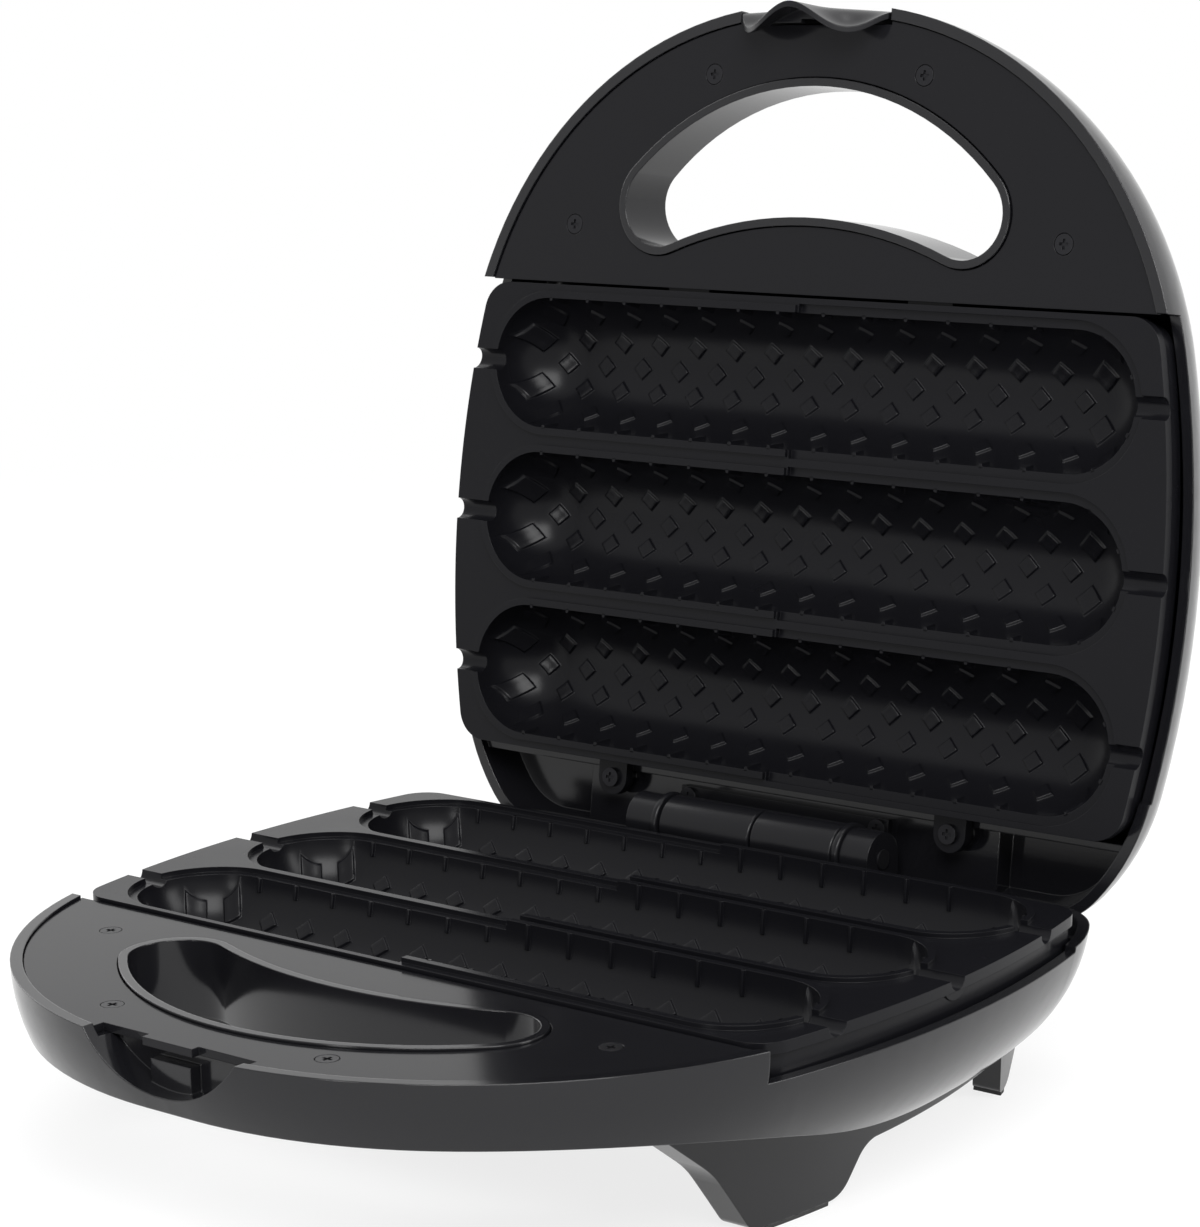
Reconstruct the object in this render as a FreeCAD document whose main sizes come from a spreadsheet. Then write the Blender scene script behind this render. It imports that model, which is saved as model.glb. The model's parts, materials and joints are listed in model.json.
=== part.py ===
import FreeCAD, Part
import Sketcher
import math
import os

# Countertop cooker for food on sticks: two hinged halves, each a moulded shell that
# carries a cast cooking plate with three long half round cavities.
#
# Half frame: both halves are drawn with the cooking face in the plane z = 0, the hinge
# side at +Y and the depth of the half going up +Z. The lid is that half turned open
# about the hinge, the base is that half turned over about Y and set at working height.

Vector = FreeCAD.Vector
Rotation = FreeCAD.Rotation
Placement = FreeCAD.Placement
X_AXIS = Vector(1, 0, 0)
Y_AXIS = Vector(0, 1, 0)
Z_AXIS = Vector(0, 0, 1)
DOWN = Vector(0, 0, -1)
FAR = 400.0

doc = FreeCAD.newDocument("stick_food_cooker")

# Driving dimensions, in millimetres and degrees
SIZES = {
    # stance and hinge
    "mate_height": 55.0,
    "plate_back": 7.5,
    "open_angle": 98.1,
    "hinge_back": 80.35,
    "hinge_drop": 1.0,
    # outline of both shells, seen square to the cooking face
    "half_width": 121.5,
    "side_radius": 270.0,
    "front_reach": 144.8,
    "front_flatness": 11.5,
    "rear_radius": 60.0,
    "rear_turn": 12.0,
    "back_corner_radius": 26.0,
    "lid_back": 92.0,
    "base_back": 87.2,
    # section of both shells
    "section_radius": 44.0,
    "wall": 3.0,
    "half_gap": 0.3,
    "side_drop": 8.0,
    "rear_drop": 6.5,
    "step_front": 67.6,
    "step_rear": 56.0,
    "handle_depth": 16.5,
    "body_depth": 37.0,
    "ramp_front": 125.0,
    "ramp_rear": 32.0,
    "rib_top": 8.5,
    "rib_thick": 2.0,
    "seat_gap": 0.3,
    # finger hole in the handle
    "horn_side_margin": 71.2,
    "horn_front_margin": 54.5,
    "horn_radius": 11.9,
    "grip_depth": 21.6,
    "hole_end_margin": 56.7,
    "hole_wall": 2.2,
    "hole_lip": 0.3,
    # cooking plates
    "plate_margin": 4.2,
    "plate_half_depth": 66.5,
    "plate_side_radius": 300.0,
    "plate_corner_radius": 9.0,
    "plate_flange": 3.0,
    "plate_skirt": 9.0,
    "plate_wall": 2.5,
    "face_gap": 0.15,
    "skirt_inset": 1.0,
    "cavity_pitch": 44.0,
    "cavity_radius": 18.5,
    "cavity_margin": 12.3,
    "groove_radius": 2.95,
    "bead_width": 2.0,
    "bead_height": 1.2,
    "bead_play": 0.35,
    "lug_reach": 57.0,
    "lug_back": 71.7,
    "lug_radius": 5.0,
    "lug_face": 5.0,
    "lug_thick": 3.0,
    "tongue_face": 3.3,
    "tongue_reach": 40.0,
    "tongue_width": 14.0,
    "tongue_length": 4.0,
    "tongue_thick": 2.5,
    # heating
    "element_radius": 3.25,
    "element_play": 0.3,
    "element_bend": 6.0,
    "element_drop": 2.0,
    "terminal_radius": 1.5,
    "terminal_length": 6.0,
    "clip_thick": 1.0,
    "clip_length": 12.0,
    "clip_width": 12.6,
    "clip_play": 0.1,
    "clip_spread": 45.0,
    "shield_thick": 0.6,
    "shield_margin": 37.5,
    "shield_front": 48.0,
    "shield_back": 64.0,
    # handle covers
    "cover_face": 1.0,
    "cover_thick": 2.0,
    "cover_play": 0.3,
    "post_radius": 4.0,
    "outer_screw_side": 40.8,
    "outer_screw_lead": 16.2,
    "inner_screw_x": 34.5,
    "inner_screw_margin": 18.6,
    "screw_head": 2.7,
    "screw_shank": 1.45,
    "screw_length": 9.0,
    "screw_head_thick": 1.2,
    "screw_slot": 0.8,
    "screw_play": 0.2,
    "screw_margin": 3.0,
    "skid_screw_front": 8.0,
    "skid_screw_rear": 48.0,
    # rear decks
    "deck_half": 69.0,
    "deck_face": 11.0,
    "deck_thick": 2.5,
    "well_face": 17.5,
    # hinge
    "barrel_radius": 6.4,
    "barrel_half": 29.0,
    "collar_radius": 7.3,
    "collar_width": 1.8,
    "cap_radius": 5.2,
    "cap_width": 11.0,
    "cap_wall": 2.0,
    "post_half": 3.1,
    "web_half": 4.3,
    "bracket_front": 71.2,
    "lid_bracket_back": 87.0,
    "base_bracket_back": 82.6,
    "lid_bracket_half": 35.0,
    "base_bracket_half": 44.0,
    "notch_play": 2.0,
    "notch_depth": 9.5,
    "pin_radius": 2.0,
    "pin_play": 0.3,
    "knuckle_gap": 0.5,
    "bracket_thick": 2.0,
    # latch and catch
    "latch_offset": 1.5,
    "latch_half": 24.0,
    "latch_thick": 1.6,
    "latch_drop": 12.0,
    "latch_rise": 11.0,
    "latch_pivot_rise": 8.0,
    "latch_pivot_inset": 4.2,
    "latch_barrel_radius": 2.2,
    "latch_pin_radius": 1.0,
    "wave_start": 4.0,
    "wave_full": 8.0,
    "flat_inset": 0.6,
    "flat_tip_inset": 1.8,
    "hump_inset": 0.3,
    "trough_inset": 6.4,
    "trough_share": 0.58,
    "tip_inset": 4.0,
    "recess_inset": 9.8,
    "recess_play": 0.6,
    "recess_depth": 13.5,
    "block_wall": 2.4,
    "lid_lip_inset": 5.3,
    "base_lip_inset": 8.0,
    "catch_lip_inset": 5.8,
    "catch_face_inset": 6.6,
    "catch_shift": 1.5,
    "catch_half": 8.0,
    "catch_block_half": 6.4,
    "catch_top": 6.0,
    "hook_left": 10.9,
    "hook_right": 5.4,
    "hook_step_x": 0.3,
    "hook_step": 1.0,
    "hook_play": 0.4,
    "hook_drop": 3.4,
    "hook_height": 2.0,
    "hook_body": 12.0,
    # feet
    "skid_top": 18.0,
    "skid_inset": 24.6,
    "skid_draft": 2.4,
    "skid_thick": 8.0,
    "skid_front": 82.0,
    "front_bend_y": 59.0,
    "front_bend_depth": 36.5,
    "front_bend_radius": 30.0,
    "front_heel": 45.8,
    "front_toe": 15.5,
    "front_heel_radius": 5.0,
    "front_toe_radius": 8.0,
    "web_start": 7.5,
    "web_depth": 42.0,
    "web_radius": 8.0,
    "rear_web_end": 65.2,
    "rear_heel": 68.6,
    "rear_toe": 75.0,
    "rear_back": 79.8,
    "rear_bend_depth": 44.0,
    "rear_corner_radius": 2.0,
    "rear_back_radius": 5.0,
    "pad_inset": 4.6,
    "pad_thick": 1.0,
    # electrics
    "lens_radius": 3.5,
    "lens_play": 0.3,
    "lens_round": 0.8,
    "lens_flange": 4.6,
    "lens_flange_thick": 1.2,
    "lens_length": 6.0,
    "neon_radius": 2.4,
    "neon_length": 7.0,
    "thermostat_radius": 8.0,
    "thermostat_height": 6.0,
    "thermostat_y": 20.0,
    "fuse_radius": 2.0,
    "fuse_length": 16.0,
    "block_reach": 30.0,
    "block_length": 24.0,
    "block_width": 14.0,
    "block_height": 8.0,
    "block_slot": 2.0,
    "block_y": 44.0,
    "lens_spacing": 16.0,
    "lens_front": 77.0,
    "gland_radius": 6.0,
    "gland_play": 0.3,
    "gland_bore": 3.2,
    "gland_length": 13.0,
    "gland_depth": 25.0,
    "gland_margin": 55.5,
    "gland_y": 72.0,
}

# Sizes that follow from the ones above, so that what lines up stays lined up
FOLLOWING = {
    "front_radius": "half_width - front_flatness",
    "horn_reach": "half_width - horn_side_margin",
    "horn_front": "front_reach - horn_front_margin",
    "hole_front": "front_reach - grip_depth",
    "hole_back": "front_reach - hole_end_margin",
    "plate_half_width": "half_width - plate_margin",
    "cavity_reach": "plate_half_width - cavity_margin",
    "element_straight": "cavity_reach - cavity_radius",
    "shield_half": "half_width - shield_margin",
    "outer_screw_x": "half_width - outer_screw_side",
    "outer_screw_y": "step_front + outer_screw_lead",
    "inner_screw_y": "front_reach - inner_screw_margin",
    "latch_pivot_front": "front_reach - latch_pivot_inset",
    "recess_back": "front_reach - recess_inset",
    "lid_lip": "front_reach - lid_lip_inset",
    "base_lip": "front_reach - base_lip_inset",
    "catch_lip": "front_reach - catch_lip_inset",
    "catch_face": "front_reach - catch_face_inset",
    "gland_x": "half_width - gland_margin",
}

sheet = doc.addObject("Spreadsheet::Sheet", "Sizes")
for row, (alias, value) in enumerate(SIZES.items(), start=1):
    sheet.set("A%d" % row, alias)
    sheet.set("B%d" % row, str(value))
    sheet.setAlias("B%d" % row, alias)
for row, (alias, formula) in enumerate(FOLLOWING.items(), start=1):
    sheet.set("D%d" % row, alias)
    sheet.set("E%d" % row, "=" + formula)
    sheet.setAlias("E%d" % row, alias)
doc.recompute()


def size(alias):
    return float(sheet.get(alias))


def bind(item, prop, formula):
    """Ties a property to the sheet: every bare alias in the formula is a cell."""
    words = []
    for word in formula.split(" "):
        words.append("Sizes." + word if word in SIZES or word in FOLLOWING else word)
    item.setExpression(prop, " ".join(words))


# Placements of the two halves and of what rides on them
HINGE = Vector(0, size("hinge_back"), -size("hinge_drop"))
LIFT = Placement(Vector(0, size("plate_back"), size("mate_height")), Rotation())
BASE = LIFT.multiply(Placement(Vector(), Rotation(Y_AXIS, 180)))
SWING = Placement(Vector(), Rotation(X_AXIS, -size("open_angle")), HINGE)
LID = LIFT.multiply(SWING)


# Small builders

def box(x0, x1, y0, y1, z0, z1):
    return Part.makeBox(x1 - x0, y1 - y0, z1 - z0, Vector(x0, y0, z0))


def rod(radius, start, direction, length):
    return Part.makeCylinder(radius, length, start, direction)


def point_on(cx, cy, radius, angle, z=0.0):
    turn = math.radians(angle)
    return Vector(cx + radius * math.cos(turn), cy + radius * math.sin(turn), z)


def arc_edge(cx, cy, radius, start, end, z=0.0):
    """Arc from the start angle to the end angle, either way round, in degrees."""
    first = point_on(cx, cy, radius, start, z)
    middle = point_on(cx, cy, radius, (start + end) / 2.0, z)
    last = point_on(cx, cy, radius, end, z)
    return Part.Arc(first, middle, last).toShape()


def line_edge(first, last):
    return Part.makeLine(first, last)


def mirrored_wire(right_edges):
    """Closes a chain of right hand edges, bottom to top, with its mirror image."""
    left_edges = [edge.mirror(Vector(), X_AXIS) for edge in reversed(right_edges)]
    return Part.Wire(Part.__sortEdges__(right_edges + left_edges))


def plate_of(wire, z0, z1):
    """Solid between two heights over a flat outline drawn at any height."""
    face = Part.Face(wire)
    face.translate(Vector(0, 0, z0 - face.BoundBox.ZMin))
    return face.extrude(Vector(0, 0, z1 - z0))


def rounded_face(corners):
    """Flat face in the YZ plane at x = -FAR through (y, z, radius) corners, rounded off."""
    spots = [Vector(-FAR, y, z) for y, z, _ in corners]
    ends = []
    arcs = []
    for i, (_, _, radius) in enumerate(corners):
        spot = spots[i]
        before = (spots[i - 1] - spot).normalize()
        after = (spots[(i + 1) % len(spots)] - spot).normalize()
        half_angle = before.getAngle(after) / 2.0
        lead = radius / math.tan(half_angle)
        first = spot + before * lead
        last = spot + after * lead
        if radius > 0:
            inwards = (before + after).normalize()
            middle = spot + inwards * (radius / math.sin(half_angle) - radius)
            arcs.append(Part.Arc(first, middle, last).toShape())
        ends.append((first, last))
    lines = [line_edge(ends[i - 1][1], ends[i][0]) for i in range(len(ends))]
    return Part.Face(Part.Wire(Part.__sortEdges__(arcs + lines)))


# Shell outline and section

def outline_centres(back):
    """Centres of the arcs of the shell outline, right hand side."""
    side_x = size("half_width") - size("side_radius")
    front_y = size("front_radius") - size("front_reach")
    front_x = side_x + math.sqrt((size("side_radius") - size("front_radius")) ** 2 - front_y ** 2)
    turn = math.radians(size("rear_turn"))
    rear_span = size("side_radius") - size("rear_radius")
    rear_x = side_x + rear_span * math.cos(turn)
    rear_y = rear_span * math.sin(turn)
    back_y = back - size("back_corner_radius")
    corner_span = size("rear_radius") - size("back_corner_radius")
    back_x = rear_x + math.sqrt(corner_span ** 2 - (back_y - rear_y) ** 2)
    return (side_x, 0.0), (front_x, front_y), (rear_x, rear_y), (back_x, back_y)


def angle_between(first, second):
    return math.degrees(math.atan2(second[1] - first[1], second[0] - first[0]))


def shell_outline(back, inset, z=0.0):
    """Closed outline of a shell, moved inwards by the inset."""
    side, front, rear, corner = outline_centres(back)
    front_angle = angle_between(side, front)
    corner_angle = angle_between(rear, corner)
    turn = size("rear_turn")
    front_y = -(size("front_reach") - inset)
    back_y = back - inset
    right = [
        line_edge(Vector(0, front_y, z), Vector(front[0], front_y, z)),
        arc_edge(front[0], front[1], size("front_radius") - inset, -90, front_angle, z),
        arc_edge(side[0], side[1], size("side_radius") - inset, front_angle, turn, z),
        arc_edge(rear[0], rear[1], size("rear_radius") - inset, turn, corner_angle, z),
        arc_edge(corner[0], corner[1], size("back_corner_radius") - inset, corner_angle, 90, z),
        line_edge(Vector(corner[0], back_y, z), Vector(0, back_y, z)),
    ]
    return mirrored_wire(right)


def section_inset(depth, offset):
    """How far the rounded wall has drawn in at a depth, for a surface offset inwards."""
    radius = size("section_radius")
    return radius - math.sqrt((radius - offset) ** 2 - depth ** 2)


def belly_profile(offset):
    """Side view of the space above the underside: shallow handle, ramp, deep body."""
    rise = size("body_depth") - size("handle_depth")
    run = size("ramp_front") + size("ramp_rear")
    radius = (run ** 2 + rise ** 2) / (4.0 * rise)
    sweep = 2.0 * math.degrees(math.atan2(rise, run))
    shallow = size("handle_depth") - offset
    deep = size("body_depth") - offset
    first = (-size("ramp_front"), size("handle_depth") + radius)
    second = (size("ramp_rear"), size("body_depth") - radius)
    edges = [
        line_edge(Vector(-FAR, shallow, 0), Vector(first[0], shallow, 0)),
        arc_edge(first[0], first[1], radius + offset, -90, -90 + sweep),
        arc_edge(second[0], second[1], radius - offset, 90 + sweep, 90),
        line_edge(Vector(second[0], deep, 0), Vector(FAR, deep, 0)),
        line_edge(Vector(FAR, deep, 0), Vector(FAR, -FAR, 0)),
        line_edge(Vector(FAR, -FAR, 0), Vector(-FAR, -FAR, 0)),
        line_edge(Vector(-FAR, -FAR, 0), Vector(-FAR, shallow, 0)),
    ]
    face = Part.Face(Part.Wire(edges))
    solid = face.extrude(Vector(0, 0, 2 * FAR))
    solid.Placement = Placement(Vector(-FAR, 0, 0), Rotation(Vector(1, 1, 1), 120))
    return solid


SECTION_STEPS = 6


def bowl(back, offset):
    """Rounded volume of a half, its surface moved inwards by the offset."""
    deepest = size("body_depth") - offset + size("half_gap")
    wires = []
    for step in range(-1, SECTION_STEPS + 1):
        depth = deepest * math.sin(math.radians(90.0 * step / SECTION_STEPS))
        wires.append(shell_outline(back, section_inset(depth, offset), depth))
    loft = Part.makeLoft(wires, True, False)
    return loft.common(belly_profile(offset))


def belly_depth(y, offset):
    """Depth of the underside at a distance from front to back."""
    rise = size("body_depth") - size("handle_depth")
    run = size("ramp_front") + size("ramp_rear")
    radius = (run ** 2 + rise ** 2) / (4.0 * rise)
    middle = (size("ramp_rear") - size("ramp_front")) / 2.0
    if y <= middle:
        lead = max(0.0, y + size("ramp_front"))
        return size("handle_depth") - offset + radius - math.sqrt(radius ** 2 - lead ** 2)
    lag = max(0.0, size("ramp_rear") - y)
    return size("body_depth") - offset - radius + math.sqrt(radius ** 2 - lag ** 2)


def finger_hole(offset, z0, z1):
    """Kidney shaped prism of the finger hole, its outline moved outwards by the offset."""
    reach = size("horn_reach")
    front = size("horn_front")
    radius = size("horn_radius")
    near = size("hole_front") - radius
    far = size("hole_back") + radius
    near_y = (reach ** 2 + front ** 2 - near ** 2) / (2.0 * (near - front))
    far_y = (reach ** 2 + front ** 2 - far ** 2) / (2.0 * (far - front))
    near_radius = near_y + size("hole_front") + offset
    far_radius = far_y + size("hole_back") - offset
    near_angle = math.degrees(math.atan2(-front - near_y, reach))
    far_angle = math.degrees(math.atan2(-front - far_y, reach))
    right = [
        arc_edge(0, near_y, near_radius, -90, near_angle),
        arc_edge(reach, -front, radius + offset, near_angle, far_angle + 180),
        arc_edge(0, far_y, far_radius, far_angle, -90),
    ]
    return plate_of(mirrored_wire(right), z0, z1)


# Features of a PartDesign body drawn with sketches whose corners are bound to the sheet

def origin_item(body, role):
    return next(item for item in body.Origin.OriginFeatures if item.Role == role)


def new_body(name):
    return doc.addObject("PartDesign::Body", name)


def corner_sketch(body, name, role, corners, lift=None):
    """Closed outline of straight lines through corners, each a pair of formulas."""
    sketch = body.newObject("Sketcher::SketchObject", name)
    sketch.AttachmentSupport = [(origin_item(body, role), "")]
    sketch.MapMode = "FlatFace"
    if lift:
        bind(sketch, "AttachmentOffset.Base.z", lift)
    count = len(corners)
    start = [point_on(0, 0, size("half_width"), 360.0 * i / count) for i in range(count)]
    for i in range(count):
        sketch.addGeometry(Part.LineSegment(start[i], start[(i + 1) % count]), False)
    for i in range(count):
        sketch.addConstraint(Sketcher.Constraint("Coincident", i, 2, (i + 1) % count, 1))
    for i, (across, along) in enumerate(corners):
        for kind, formula, now in (("DistanceX", across, start[i].x), ("DistanceY", along, start[i].y)):
            index = sketch.addConstraint(Sketcher.Constraint(kind, -1, 1, i, 1, now))
            bind(sketch, "Constraints[%d]" % index, formula)
    doc.recompute()
    return sketch


def padded(body, name, sketch, length):
    pad = body.newObject("PartDesign::Pad", name)
    pad.Profile = sketch
    bind(pad, "Length", length)
    doc.recompute()
    return pad


def pocketed(body, name, sketch, length, backwards):
    before = body.Shape.Volume
    pocket = body.newObject("PartDesign::Pocket", name)
    pocket.Profile = sketch
    pocket.Reversed = backwards
    bind(pocket, "Length", length)
    doc.recompute()
    if body.Shape.Volume >= before:
        raise RuntimeError("pocket %s removes nothing" % name)
    return pocket


def turned(name, corners):
    """Body of revolution about its own Z axis from (radius, height) formulas."""
    body = new_body(name)
    sketch = corner_sketch(body, name + "_section", "XZ_Plane", corners)
    spin = body.newObject("PartDesign::Revolution", name + "_turn")
    spin.Profile = sketch
    spin.ReferenceAxis = (sketch, ["V_Axis"])
    spin.Angle = 360
    doc.recompute()
    return body


def slab(name, x0, x1, y0, y1, z0, thickness):
    """Rectangular body between formulas."""
    body = new_body(name)
    corners = [(x0, y0), (x1, y0), (x1, y1), (x0, y1)]
    sketch = corner_sketch(body, name + "_outline", "XY_Plane", corners, z0)
    padded(body, name + "_pad", sketch, thickness)
    return body


def primitive(kind, name, formulas, spot, turn):
    item = doc.addObject(kind, name)
    for prop, formula in formulas.items():
        bind(item, prop, formula)
    item.Placement = Placement(spot, turn)
    return item


def joined(name, pieces):
    item = doc.addObject("Part::MultiFuse", name)
    item.Shapes = pieces
    return item


def carved(name, base, tool):
    item = doc.addObject("Part::Cut", name)
    item.Base = base
    item.Tool = tool
    return item


ALONG_X = Rotation(Y_AXIS, 90)
ALONG_Y = Rotation(X_AXIS, -90)
STRAIGHT = Rotation()
FLIPPED = Rotation(X_AXIS, 180)

nodes = []


def keep(item, name, placement):
    item.Placement = placement
    item.Label = name
    nodes.append(item)
    return item


def keep_shape(name, shape, placement):
    item = doc.addObject("Part::Feature", name)
    item.Shape = shape
    return keep(item, name, placement)


def keep_copies(name, source, spots, placement):
    """One node holding the same piece at several spots of a half."""
    pieces = []
    for spot in spots:
        piece = source.Shape.copy()
        piece.Placement = spot
        pieces.append(piece)
    return keep_shape(name, Part.makeCompound(pieces), placement)


def spots_at(points, turn=None):
    return [Placement(point, turn or STRAIGHT) for point in points]


# Where things sit, in the half frame

def cover_screw_points(z):
    outer = (size("outer_screw_x"), size("outer_screw_y"))
    inner = (size("inner_screw_x"), size("inner_screw_y"))
    return [Vector(side * x, -y, z) for x, y in (outer, inner) for side in (-1, 1)]


def lug_points(z):
    return [Vector(side * size("lug_reach"), size("lug_back"), z) for side in (-1, 1)]


def base_bracket_points(z):
    far_x = size("barrel_half") + size("cap_width") / 2.0 + size("collar_width")
    near_x = far_x / 3.0
    y = size("bracket_front") + size("screw_margin")
    return [Vector(x, y, z) for x in (-far_x, -near_x, near_x, far_x)]


def lid_bracket_points(z):
    x = size("barrel_half") + size("screw_margin")
    front = size("bracket_front") + size("screw_margin")
    rear = size("lid_bracket_back") - size("screw_margin")
    return [Vector(side * x, y, z) for y in (front, rear) for side in (-1, 1)]


def skid_screw_points(z):
    points = []
    for y in (size("skid_screw_front"), size("skid_screw_rear")):
        inset = skid_inset_at(size("web_depth")) + size("skid_thick") / 2.0
        x = size("half_width") - inset - y ** 2 / (2.0 * size("side_radius"))
        points += [Vector(-x, y, z), Vector(x, y, z)]
    return points


def skid_inset_at(depth):
    drop = size("mate_height") - size("body_depth")
    return size("skid_inset") + size("skid_draft") * (depth - size("body_depth")) / drop


def catch_x(is_lid):
    return -size("latch_offset") if is_lid else size("latch_offset")


# Moulded shells

def interior(is_lid, back):
    """Walls, posts and decks moulded inside a shell, before trimming to its outside."""
    wall = size("wall")
    front_face = size("step_front")
    post = size("post_radius")
    cover_under = size("cover_face") + size("cover_thick")
    block = size("latch_half") + size("recess_play") + size("block_wall")
    block_y = -size("recess_back") + size("block_wall")
    middle = catch_x(is_lid)
    deck = size("deck_half")
    deck_face = size("deck_face")
    deck_under = deck_face + size("deck_thick")
    well_face = size("well_face")
    well_under = well_face + size("deck_thick")
    rib_y = size("step_front")
    lug_under = size("lug_face") + size("lug_thick")
    shelf = size("tongue_face") + size("tongue_thick") + size("seat_gap")
    bottom = FAR / 4.0
    pieces = [
        box(-FAR, FAR, -front_face - wall, -front_face, shelf, bottom),
        box(-FAR, FAR, rib_y, rib_y + size("rib_thick"), size("rib_top"), bottom),
        finger_hole(size("hole_wall"), size("hole_lip"), bottom),
        box(middle - block, middle + block, -FAR, block_y, cover_under, bottom),
        box(-deck, deck, rib_y, back, deck_face, deck_under),
        box(deck - wall, deck, rib_y, back, deck_face, well_under),
        box(-deck, wall - deck, rib_y, back, deck_face, well_under),
        box(deck - wall, FAR, rib_y, back, well_face, well_under),
        box(-FAR, wall - deck, rib_y, back, well_face, well_under),
    ]
    for point in cover_screw_points(cover_under):
        pieces.append(rod(post, point, Z_AXIS, bottom))
    for point in lug_points(lug_under):
        pieces.append(rod(post, point, Z_AXIS, size("screw_length")))
    if is_lid:
        for point in lid_bracket_points(deck_face):
            pieces.append(rod(post, point, Z_AXIS, size("screw_length")))
    else:
        for point in base_bracket_points(deck_face):
            pieces.append(rod(post, point, Z_AXIS, size("screw_length")))
        for point in skid_screw_points(size("body_depth") - size("screw_length")):
            pieces.append(rod(post, point, Z_AXIS, size("screw_length")))
    return pieces[0].multiFuse(pieces[1:])


def lens_points(z):
    return [Vector(side * size("lens_spacing") / 2.0, -size("lens_front"), z) for side in (-1, 1)]


def openings_cut(is_lid, back):
    """Everything taken out of a shell: lowered rims, finger hole, recesses and bores."""
    middle = catch_x(is_lid)
    bore = size("screw_shank") + size("screw_play")
    reach = size("latch_half") + size("recess_play")
    recess_y = -size("recess_back")
    head = size("screw_head_thick")
    deck_face = size("deck_face")
    length = size("screw_length") + size("screw_play")
    seat = size("cover_face") + size("cover_thick")
    tools = [
        box(-FAR, FAR, -FAR, FAR, -FAR, size("half_gap")),
        box(-FAR, FAR, -size("step_front"), size("step_rear"), -FAR, size("side_drop")),
        box(-FAR, FAR, size("step_rear"), FAR, -FAR, size("rear_drop")),
        finger_hole(0.0, -FAR, FAR / 4.0),
    ]
    for point in cover_screw_points(seat) + lug_points(size("lug_face") + size("lug_thick")):
        tools.append(rod(bore, point, Z_AXIS, length - size("cover_thick") + head))
    pivot = Vector(middle - FAR, -size("latch_pivot_front"), size("latch_pivot_rise"))
    if is_lid:
        tools.append(box(middle - reach, middle + reach, -FAR, recess_y, -FAR, size("recess_depth")))
        start = pivot + Vector(FAR - reach - size("block_wall"), 0, 0)
        pin_bore = size("latch_pin_radius") + size("pin_play")
        tools.append(rod(pin_bore, start, X_AXIS, 2.0 * (reach + size("block_wall"))))
        for point in lid_bracket_points(deck_face):
            tools.append(rod(bore, point, Z_AXIS, length))
        for point in lens_points(0.0):
            tools.append(rod(size("lens_radius") + size("lens_play"), point, Z_AXIS, FAR / 4.0))
    else:
        radius, centre = latch_arc()
        start = Vector(middle, -FAR, -centre)
        recess = rod(radius + size("recess_play"), start, Y_AXIS, FAR + recess_y)
        catch = middle + size("catch_shift")
        half = size("catch_block_half")
        tools.append(recess.cut(box(catch - half, catch + half, -size("catch_face"), FAR, size("catch_top"), FAR)))
        for point in base_bracket_points(deck_face):
            tools.append(rod(bore, point, Z_AXIS, length))
        for point in skid_screw_points(size("body_depth") - length + size("screw_play")):
            tools.append(rod(bore, point, Z_AXIS, length))
        notch = size("barrel_half") + size("collar_width") + size("cap_width") + size("notch_play")
        tools.append(box(-notch, notch, size("hinge_back"), FAR, -FAR, size("notch_depth")))
        start = Vector(-size("gland_x"), size("step_front") + size("wall"), size("gland_depth"))
        tools.append(rod(size("gland_radius") + size("gland_play"), start, Y_AXIS, FAR))
    return tools


def housing(is_lid):
    back = size("lid_back") if is_lid else size("base_back")
    outer = bowl(back, 0.0)
    hollow = outer.cut(bowl(back, size("wall")))
    body = hollow.fuse(interior(is_lid, back).common(outer))
    body = body.cut(openings_cut(is_lid, back))
    return body.removeSplitter()


def latch_arc():
    """Radius and centre height of the rounded lower edge of the latch."""
    half = size("latch_half")
    drop = size("latch_drop")
    radius = (half ** 2 + drop ** 2) / (2.0 * drop)
    return radius, radius - drop


def handle_cover(is_lid):
    """Flat cover that closes the hollow of the handle round the finger hole."""
    back = size("lid_back") if is_lid else size("base_back")
    face = size("cover_face")
    under = face + size("cover_thick")
    play = size("cover_play")
    cover = plate_of(shell_outline(back, size("wall") + play), face, under)
    cover = cover.cut(box(-FAR, FAR, play - size("step_front"), FAR, -FAR, FAR))
    reach = size("latch_half") + size("recess_play")
    middle = catch_x(is_lid)
    lip = size("lid_lip") if is_lid else size("base_lip")
    notch = box(middle - reach, middle + reach, -FAR, -lip, -FAR, FAR)
    if not is_lid:
        catch = middle + size("catch_shift")
        half = size("catch_half")
        notch = notch.cut(box(catch - half, catch + half, -size("catch_lip"), FAR, -FAR, FAR))
    tools = [finger_hole(size("hole_wall") + play, -FAR, FAR), notch]
    for point in cover_screw_points(face):
        tools.append(rod(size("screw_head") + size("screw_play"), point, Z_AXIS, size("screw_head_thick")))
        tools.append(rod(size("screw_shank") + size("screw_play"), point, Z_AXIS, size("cover_thick")))
    return cover.cut(tools)


# Cast cooking plate, the same casting in both halves

def plate_outline(inset):
    radius = size("plate_side_radius") - inset
    side_x = size("plate_half_width") - size("plate_side_radius")
    corner = size("plate_corner_radius") - inset
    half = size("plate_half_depth") - inset
    centre_y = half - corner
    centre_x = side_x + math.sqrt((radius - corner) ** 2 - centre_y ** 2)
    angle = math.degrees(math.atan2(centre_y, centre_x - side_x))
    right = [
        line_edge(Vector(0, -half, 0), Vector(centre_x, -half, 0)),
        arc_edge(centre_x, -centre_y, corner, -90, -angle),
        arc_edge(side_x, 0, radius, -angle, angle),
        arc_edge(centre_x, centre_y, corner, angle, 90),
        line_edge(Vector(centre_x, half, 0), Vector(0, half, 0)),
    ]
    return mirrored_wire(right)


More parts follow.
